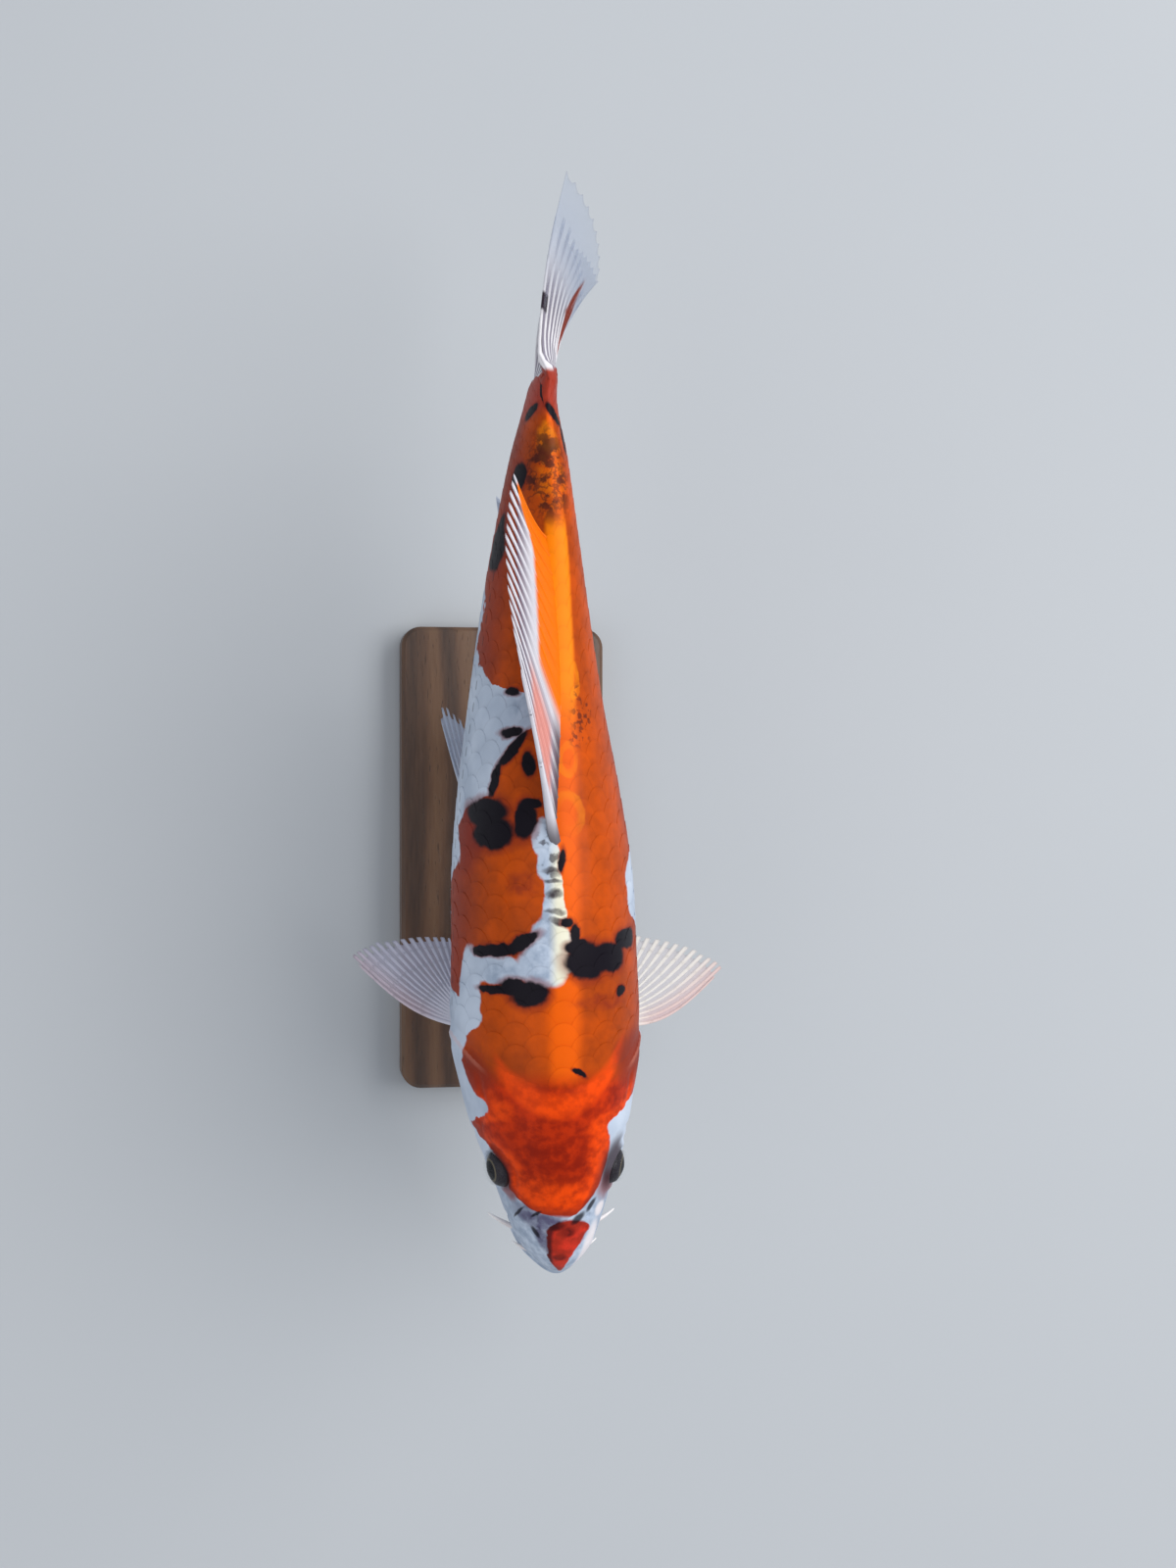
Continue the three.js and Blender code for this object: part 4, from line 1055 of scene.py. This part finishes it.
# ---- Dorsal fin ----
# The long back fin, half folded and leaning over to the fish's right. Its front rays are white
# and pink, and behind them the web is bright orange below and white in its outer half.
DORSAL = {"from": 0.472, "to": 0.800, "depth": 3, "rise": 17, "end_rise": 8, "front_back": 61,
          "end_back": 23, "shortening": 1.4, "lean": -17, "end_lean": -18,
          "middle_lean": -5, "front_shift": -2}
FIN_WHITE = (0.84, 0.81, 0.83, 1)
FIN_GREY = (0.36, 0.34, 0.44, 1)
FIN_VIOLET = (0.10, 0.07, 0.14, 1)
FIN_PINK = (0.80, 0.27, 0.20, 1)
FIN_ORANGE = (0.86, 0.235, 0.001, 1)
FIN_DARK = (0.030, 0.018, 0.030, 1)


def dorsal_surface(s, t):
    root = body_point(lerp(DORSAL["from"], DORSAL["to"], s), np.zeros_like(s))
    shorter = (DORSAL["front_back"] - DORSAL["end_back"]) * np.abs(s) ** DORSAL["shortening"]
    back = DORSAL["front_back"] - shorter
    rise = DORSAL["rise"] - (DORSAL["rise"] - DORSAL["end_rise"]) * s * s
    lean = lerp(DORSAL["lean"], DORSAL["end_lean"], s)
    lean = lean + DORSAL["middle_lean"] * np.sin(math.pi * s)
    lift = rise * np.sin(math.pi / 2 * np.minimum(t, 1)) - DORSAL["depth"] * (1 - t)
    shift = DORSAL["front_shift"] * (1 - t) * (1 - s) ** 6
    over = lean * np.abs(t) ** (1 - 0.5 * np.abs(s) ** 4)
    return root + np.stack([over + shift, back * t, lift], axis=-1) * MM


def dorsal_orange(s, t):
    reach = 0.46 + s.smooth(0.82, 0.98) * 0.4
    return s.smooth(0.34, 0.42) * (t - reach).smooth(0.05, -0.04)


def dorsal_pink(s, t):
    return s.smooth(0.03, 0.07) * s.smooth(0.32, 0.22) * t.smooth(0.18, 0.30) * t.smooth(0.70, 0.56)


def dorsal_web(paint, s, t, gap, lines):
    colour = (lines * 0.6).over(FIN_GREY, FIN_WHITE)
    streaks = (t.smooth(0.50, 0.85) * 0.95).most(s.smooth(0.40, 0.24) * 0.65)
    colour = (gap * streaks).over(FIN_VIOLET, colour)
    colour = (dorsal_pink(s, t) * 0.8).over(FIN_PINK, colour)
    # Painted shade at the root of the front rays, where the fin meets the back.
    colour = (t.smooth(0.24, 0.08) * s.smooth(0.4, 0.3) * 0.8).over(FIN_DARK, colour)
    return dorsal_orange(s, t).over(lines.over(FIN_ORANGE, RIDGE_ORANGE), colour)


def dorsal_clearness(paint, s, t, gap, lines):
    return 0.96 - gap * (1 - dorsal_orange(s, t)) * t.smooth(0.45, 0.85) * 0.55


def dorsal_ray(paint, s, t, lines):
    white = (dorsal_pink(s, t) * 0.7).over(FIN_PINK, FIN_WHITE)
    return dorsal_orange(s, t).over(FIN_ORANGE, white)


DORSAL_RAYS = 16
make_fin("back_fin", ["dorsal_fin"], dorsal_surface, DORSAL_RAYS,
         fin_paints("back_fin", DORSAL_RAYS, dorsal_web, dorsal_clearness, dorsal_ray),
         notch=0.20, stem=0.75, tip=0.34, swell=0.9, seed=11)

# ---- Tail fin ----
# The forked tail, cupped so that its middle swings to the fish's left. Its root is red, and the
# rest is white rays in a clear blue-grey web, with a few marks of black and brown.
TAIL = {"root_place": 0.965, "root_half": 0.052, "lobe": 78, "fork": 45, "spread": 0.42, "cup": 17,
        "root_cup": 3, "free": 8, "top_lean": -6, "bottom_sweep": 15}
TAIL_GREY = (0.40, 0.46, 0.58, 1)
TAIL_BROWN = (0.30, 0.055, 0.035, 1)
TAIL_RAYS = 19
TAIL_BORDER = -4.0 * MM  # where the red ends, measured backwards from the end of the stalk
TAIL_WAVES = 1.5 * MM  # how deep the border's scallops are


def tail_surface(s, t):
    edge = 1 - 2 * s
    share = np.abs(edge)
    length = TAIL["fork"] + (TAIL["lobe"] - TAIL["fork"]) * share
    distance = length * t
    angle = TAIL["spread"] * edge
    back = LENGTH * TAIL["root_place"] + distance * np.cos(angle) * MM
    free = np.maximum(distance - TAIL["free"], 0) / (length - TAIL["free"])
    cup = (TAIL["cup"] * free * free + TAIL["root_cup"] * np.tanh(10 * free)) * (1 - share ** 2)
    above = TAIL["top_lean"] * np.tanh(20 * free) * np.cos(math.pi / 2 * free ** 1.5)
    sweep = share ** 2 * np.where(edge > 0, above, TAIL["bottom_sweep"] * free * free)
    return np.stack([
        LENGTH * smooth_rows(SECTIONS, BEND, np.clip(back / LENGTH, 0, 1)) + (cup + sweep) * MM,
        SNOUT + back,
        AXIS + edge * TAIL["root_half"] * LENGTH + distance * np.sin(angle) * MM,
    ], axis=-1)


def tail_marks(s, t):
    spot = s.smooth(0.055, 0.045) * t.smooth(0.37, 0.39) * t.smooth(0.47, 0.45)
    streak = s.smooth(0.022, 0.012) * s.smooth(0.002, 0.008) * t.smooth(0.16, 0.2) * t.smooth(0.36, 0.3)
    return spot.most(streak * 0.8)


def tail_brown(s, t):
    """1 on the two brown rays in the middle of the tail."""
    return (abs(s - 0.40) + abs(t - 0.56) * 0.26).smooth(0.082, 0.064)


def tail_base(paint, s, lines):
    """1 on the fin's root, out to a scalloped border."""
    behind = paint.here().parts()[1] - (SNOUT + LENGTH + TAIL_BORDER)
    waves = abs(paint.math("SINE", s * 22)) * TAIL_WAVES
    return (behind - waves + (lines - 0.5) * 4 * MM).smooth(1.2 * MM, -0.8 * MM)


def tail_marked(paint, s, t, lines, colour):
    colour = tail_brown(s, t).over(TAIL_BROWN, colour)
    colour = tail_marks(s, t).over(FIN_DARK, colour)
    return tail_base(paint, s, lines).over(STALK_RED, colour)


def tail_web(paint, s, t, gap, lines):
    colour = t.smooth(0.35, 0.9).over(TAIL_GREY, FIN_WHITE)
    colour = (gap * t.smooth(0.70, 0.45) * 0.75).over(FIN_VIOLET, colour)
    return tail_marked(paint, s, t, lines, colour)


def tail_clearness(paint, s, t, gap, lines):
    between = gap * t.smooth(0.2, 0.45) * t.smooth(0.7, 0.45) * 0.25
    return 0.97 - t.smooth(0.22, 0.50) * 0.25 - between - t.smooth(0.45, 0.95) * 0.50


def tail_ray(paint, s, t, lines):
    return tail_marked(paint, s, t, lines, t.smooth(0.65, 1.0).over(TAIL_GREY, FIN_WHITE))


make_fin("tail", ["tail_fin_upper", "tail_fin_lower"], tail_surface, TAIL_RAYS,
         fin_paints("tail", TAIL_RAYS, tail_web, tail_clearness, tail_ray, 0.97), forks=(0.36, 0.62),
         notch=0.02, root=6.5, flesh=(0.05, 0.32), stem=0.75, tip=0.22, lead=1.1, ray_end=0.82, seed=12)

# ---- Pectoral fins ----
# The pair behind the gills, spread wide and angled down: white rays in a clear lilac web, pinker
# towards the leading edge, with small dark dashes near the root.
PECTORAL = {"place": 0.288, "height": -0.070, "root": (-2, 8, -3), "rays": 15}
PECTORAL_REACH = {
    "left": {"lead": (43.0, 13.5, -17.0), "trail": (4.0, 21.0, -12.0), "bow": 7.5},
    "right": {"lead": (34.5, 19.0, -24.5), "trail": (2.5, 21.0, -17.0), "bow": 5},
}
FAN_BULGE = 0.15
FAN_DEPTH = 0.12
WEB_LILAC = (0.66, 0.65, 0.76, 1)
WEB_CREAM = (0.90, 0.84, 0.74, 1)
WEB_PINK = (0.75, 0.42, 0.40, 1)
RAY_PINK = (0.80, 0.42, 0.40, 1)
RAY_CREAM = (0.95, 0.92, 0.86, 1)


def fan_surface(root_at, reaches, sign):
    """A fan of rays from a short root on the flank."""
    back, belly = [smooth_rows(SECTIONS, column, root_at["place"]) for column in (BACK, BELLY)]
    turn = sign * math.acos((2 * root_at["height"] - back + belly) / (back + belly))
    middle = body_point(root_at["place"], turn)
    mirror = np.array([sign, 1, 1])
    first, last = [np.array(reaches[key]) * mirror for key in ("lead", "trail")]
    root = np.array(root_at["root"]) * mirror

    def surface(s, t):
        s, t = s[:, None], t[:, None]
        reach = lerp(np.linalg.norm(first), np.linalg.norm(last), s)
        reach = reach * (1 + FAN_BULGE * np.sin(math.pi * np.sqrt(np.abs(s))))
        arch = reaches["bow"] * np.sin(math.pi * np.clip(t, 0, 1))
        bowed = np.hstack([0 * arch, -arch * (1 - s) ** 2, 0.25 * arch])
        way = unit(lerp(first, last, s)) * reach * ((1 + FAN_DEPTH) * t - FAN_DEPTH)
        return middle + (root * (s - 0.5) + way + bowed) * MM

    return surface


def on_left(paint):
    """1 on the fish's left fin and 0 on its right."""
    return paint.here().parts()[0].smooth(-10 * MM, 10 * MM)


def pectoral_web(paint, s, t, gap, lines):
    left = on_left(paint)
    colour = (left * 0.8 + t.smooth(0.55, 0.1) * 0.2).over(WEB_CREAM, WEB_LILAC)
    colour = (gap * t.smooth(0.15, 0.4) * 0.45).over(FIN_GREY, colour)
    return (s.smooth(0.3, 0.0) * t.smooth(0.15, 0.5) * (left * 0.25 + 0.3)).over(WEB_PINK, colour)


def pectoral_clearness(paint, s, t, gap, lines):
    return 0.95 - t.smooth(0.15, 0.6) * 0.15 - gap * t.smooth(0.2, 0.5) * 0.30


def pectoral_ray(paint, s, t, lines):
    pink = s.smooth(0.20, 0.02) * t.smooth(0.1, 0.4) * (on_left(paint) * 0.35 + 0.35)
    dash = s.smooth(0.06, 0.02) * t.smooth(0.10, 0.14) * t.smooth(0.30, 0.25) * lines.smooth(0.35, 0.5)
    return dash.over(FIN_DARK, pink.over(RAY_PINK, RAY_CREAM))


pectoral_paints = fin_paints("pectoral", PECTORAL["rays"], pectoral_web, pectoral_clearness,
                             pectoral_ray, 0.3)
for side_name, sign in SIDES:
    make_fin(f"{side_name}_pectoral", [f"pectoral_fin_{side_name}"],
             fan_surface(PECTORAL, PECTORAL_REACH[side_name], sign), PECTORAL["rays"], pectoral_paints,
             forks=(0.42, 0.68, 0.86), notch=0.06, root=2.6, stem=0.6, tip=0.26, lead=1.6, seed=20 + sign)

# ---- Pelvic and anal fins ----
# The small pair below the belly and the single fin before the tail stalk, all swept back: pale
# blue-white rays in a clear web.
PELVIC = {"place": 0.495, "height": -0.119, "root": (-5, 9, -1), "rays": 9}
PELVIC_REACH = {"lead": (12.0, 45.0, -18.0), "trail": (1.0, 27.0, -12.0), "bow": 2}
PALE_BLUE = (0.55, 0.60, 0.72, 1)
PALE_WHITE = (0.80, 0.80, 0.82, 1)
PALE_RAY_BLUE = (0.70, 0.74, 0.80, 1)
PALE_RAY_WHITE = (0.86, 0.86, 0.86, 1)
ANAL = {"from": 0.745, "to": 0.812, "rays": 9, "depth": 3, "lead": (-1.5, 45, -27), "trail": (-0.5, 15, -9)}


def pale_web(paint, s, t, gap, lines):
    pale = t.smooth(0.1, 0.8).over(PALE_BLUE, PALE_WHITE)
    return (gap * 0.25).over(FIN_GREY, pale)


def pale_clearness(paint, s, t, gap, lines):
    return 0.94 - t.smooth(0.1, 0.6) * 0.16 - gap * t.smooth(0.2, 0.5) * 0.12


def pale_ray(paint, s, t, lines):
    return (lines * 0.3).over(PALE_RAY_BLUE, PALE_RAY_WHITE)


def anal_surface(s, t):
    root = body_point(lerp(ANAL["from"], ANAL["to"], s), np.full_like(s, math.pi))
    reach = [lerp(first, last, s) for first, last in zip(ANAL["lead"], ANAL["trail"])]
    down = reach[2] * t + ANAL["depth"] * (1 - t)
    return root + np.stack([reach[0] * t * t, reach[1] * t, down], axis=-1) * MM


pale_paints = fin_paints("pale_fin", PELVIC["rays"], pale_web, pale_clearness, pale_ray, 0.3)
for side_name, sign in SIDES:
    make_fin(f"{side_name}_pelvic", [f"pelvic_fin_{side_name}"], fan_surface(PELVIC, PELVIC_REACH, sign),
             PELVIC["rays"], pale_paints, root=2.2, seed=30 + sign)
make_fin("vent_fin", ["anal_fin"], anal_surface, ANAL["rays"], pale_paints, root=2.2, seed=33)

# ---- Floor, light and camera ----
# A plain pale floor under soft studio light, seen from above the fish's back.
CAMERA_REACH = 793 * MM
CAMERA_TILT = math.radians(10)
AIM = (15.7 * MM, 30.2 * MM)
FLOOR_HALF = 3.0
FLOOR_SHADE = (0.46, 0.48, 0.50, 1)
FLOOR_PALE = (0.50, 0.515, 0.53, 1)
STUDIO_SKY = (0.80, 0.86, 0.95, 1)
STUDIO_STRENGTH = 0.50

floor_paint, paint = paint_for("floor")
at = paint.here()
cloud = paint.noise(at, 3, 3)
coat_with(paint, {
    "Base Color": cloud.over(FLOOR_SHADE, FLOOR_PALE),
    "Roughness": 0.75,
})
sheet = bmesh.new()
bmesh.ops.create_grid(sheet, x_segments=1, y_segments=1, size=FLOOR_HALF)
bmesh.ops.translate(sheet, verts=sheet.verts, vec=(0, 0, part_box("stand_base")[0].z))
floor = finish_mesh("floor", sheet, floor_paint, smooth=False)

world = bpy.data.worlds.new("studio")
world.use_nodes = True
world.node_tree.nodes["Background"].inputs["Color"].default_value = STUDIO_SKY
world.node_tree.nodes["Background"].inputs["Strength"].default_value = STUDIO_STRENGTH
bpy.context.scene.world = world
bpy.context.scene.view_settings.view_transform = "Standard"

LAMPS = [("key", (1.05, 0.45, 1.65), 2.0, 40), ("fill", (-1.3, -0.6, 1.2), 1.6, 6)]  # place, size, watts
for light_name, spot, size, power in LAMPS:
    lamp = bpy.data.lights.new(light_name, "AREA")
    lamp.size = size
    lamp.energy = power
    light = bpy.data.objects.new(light_name, lamp)
    light.location = spot
    pull = np.array([0, 0, AXIS]) - np.array(spot)
    tilt = math.atan2(math.hypot(pull[0], pull[1]), -pull[2])
    light.rotation_euler = (tilt, 0, math.atan2(-pull[0], pull[1]))
    bpy.context.scene.collection.objects.link(light)

lens = bpy.data.cameras.new("camera")
lens.lens = 50
lens.sensor_fit = "VERTICAL"
lens.sensor_height = 36
camera = bpy.data.objects.new("camera", lens)
camera.location = (AIM[0] - CAMERA_REACH * math.sin(CAMERA_TILT), AIM[1],
                   AXIS + CAMERA_REACH * math.cos(CAMERA_TILT))
camera.rotation_euler = (0, -CAMERA_TILT, 0)
bpy.context.scene.collection.objects.link(camera)
bpy.context.scene.camera = camera
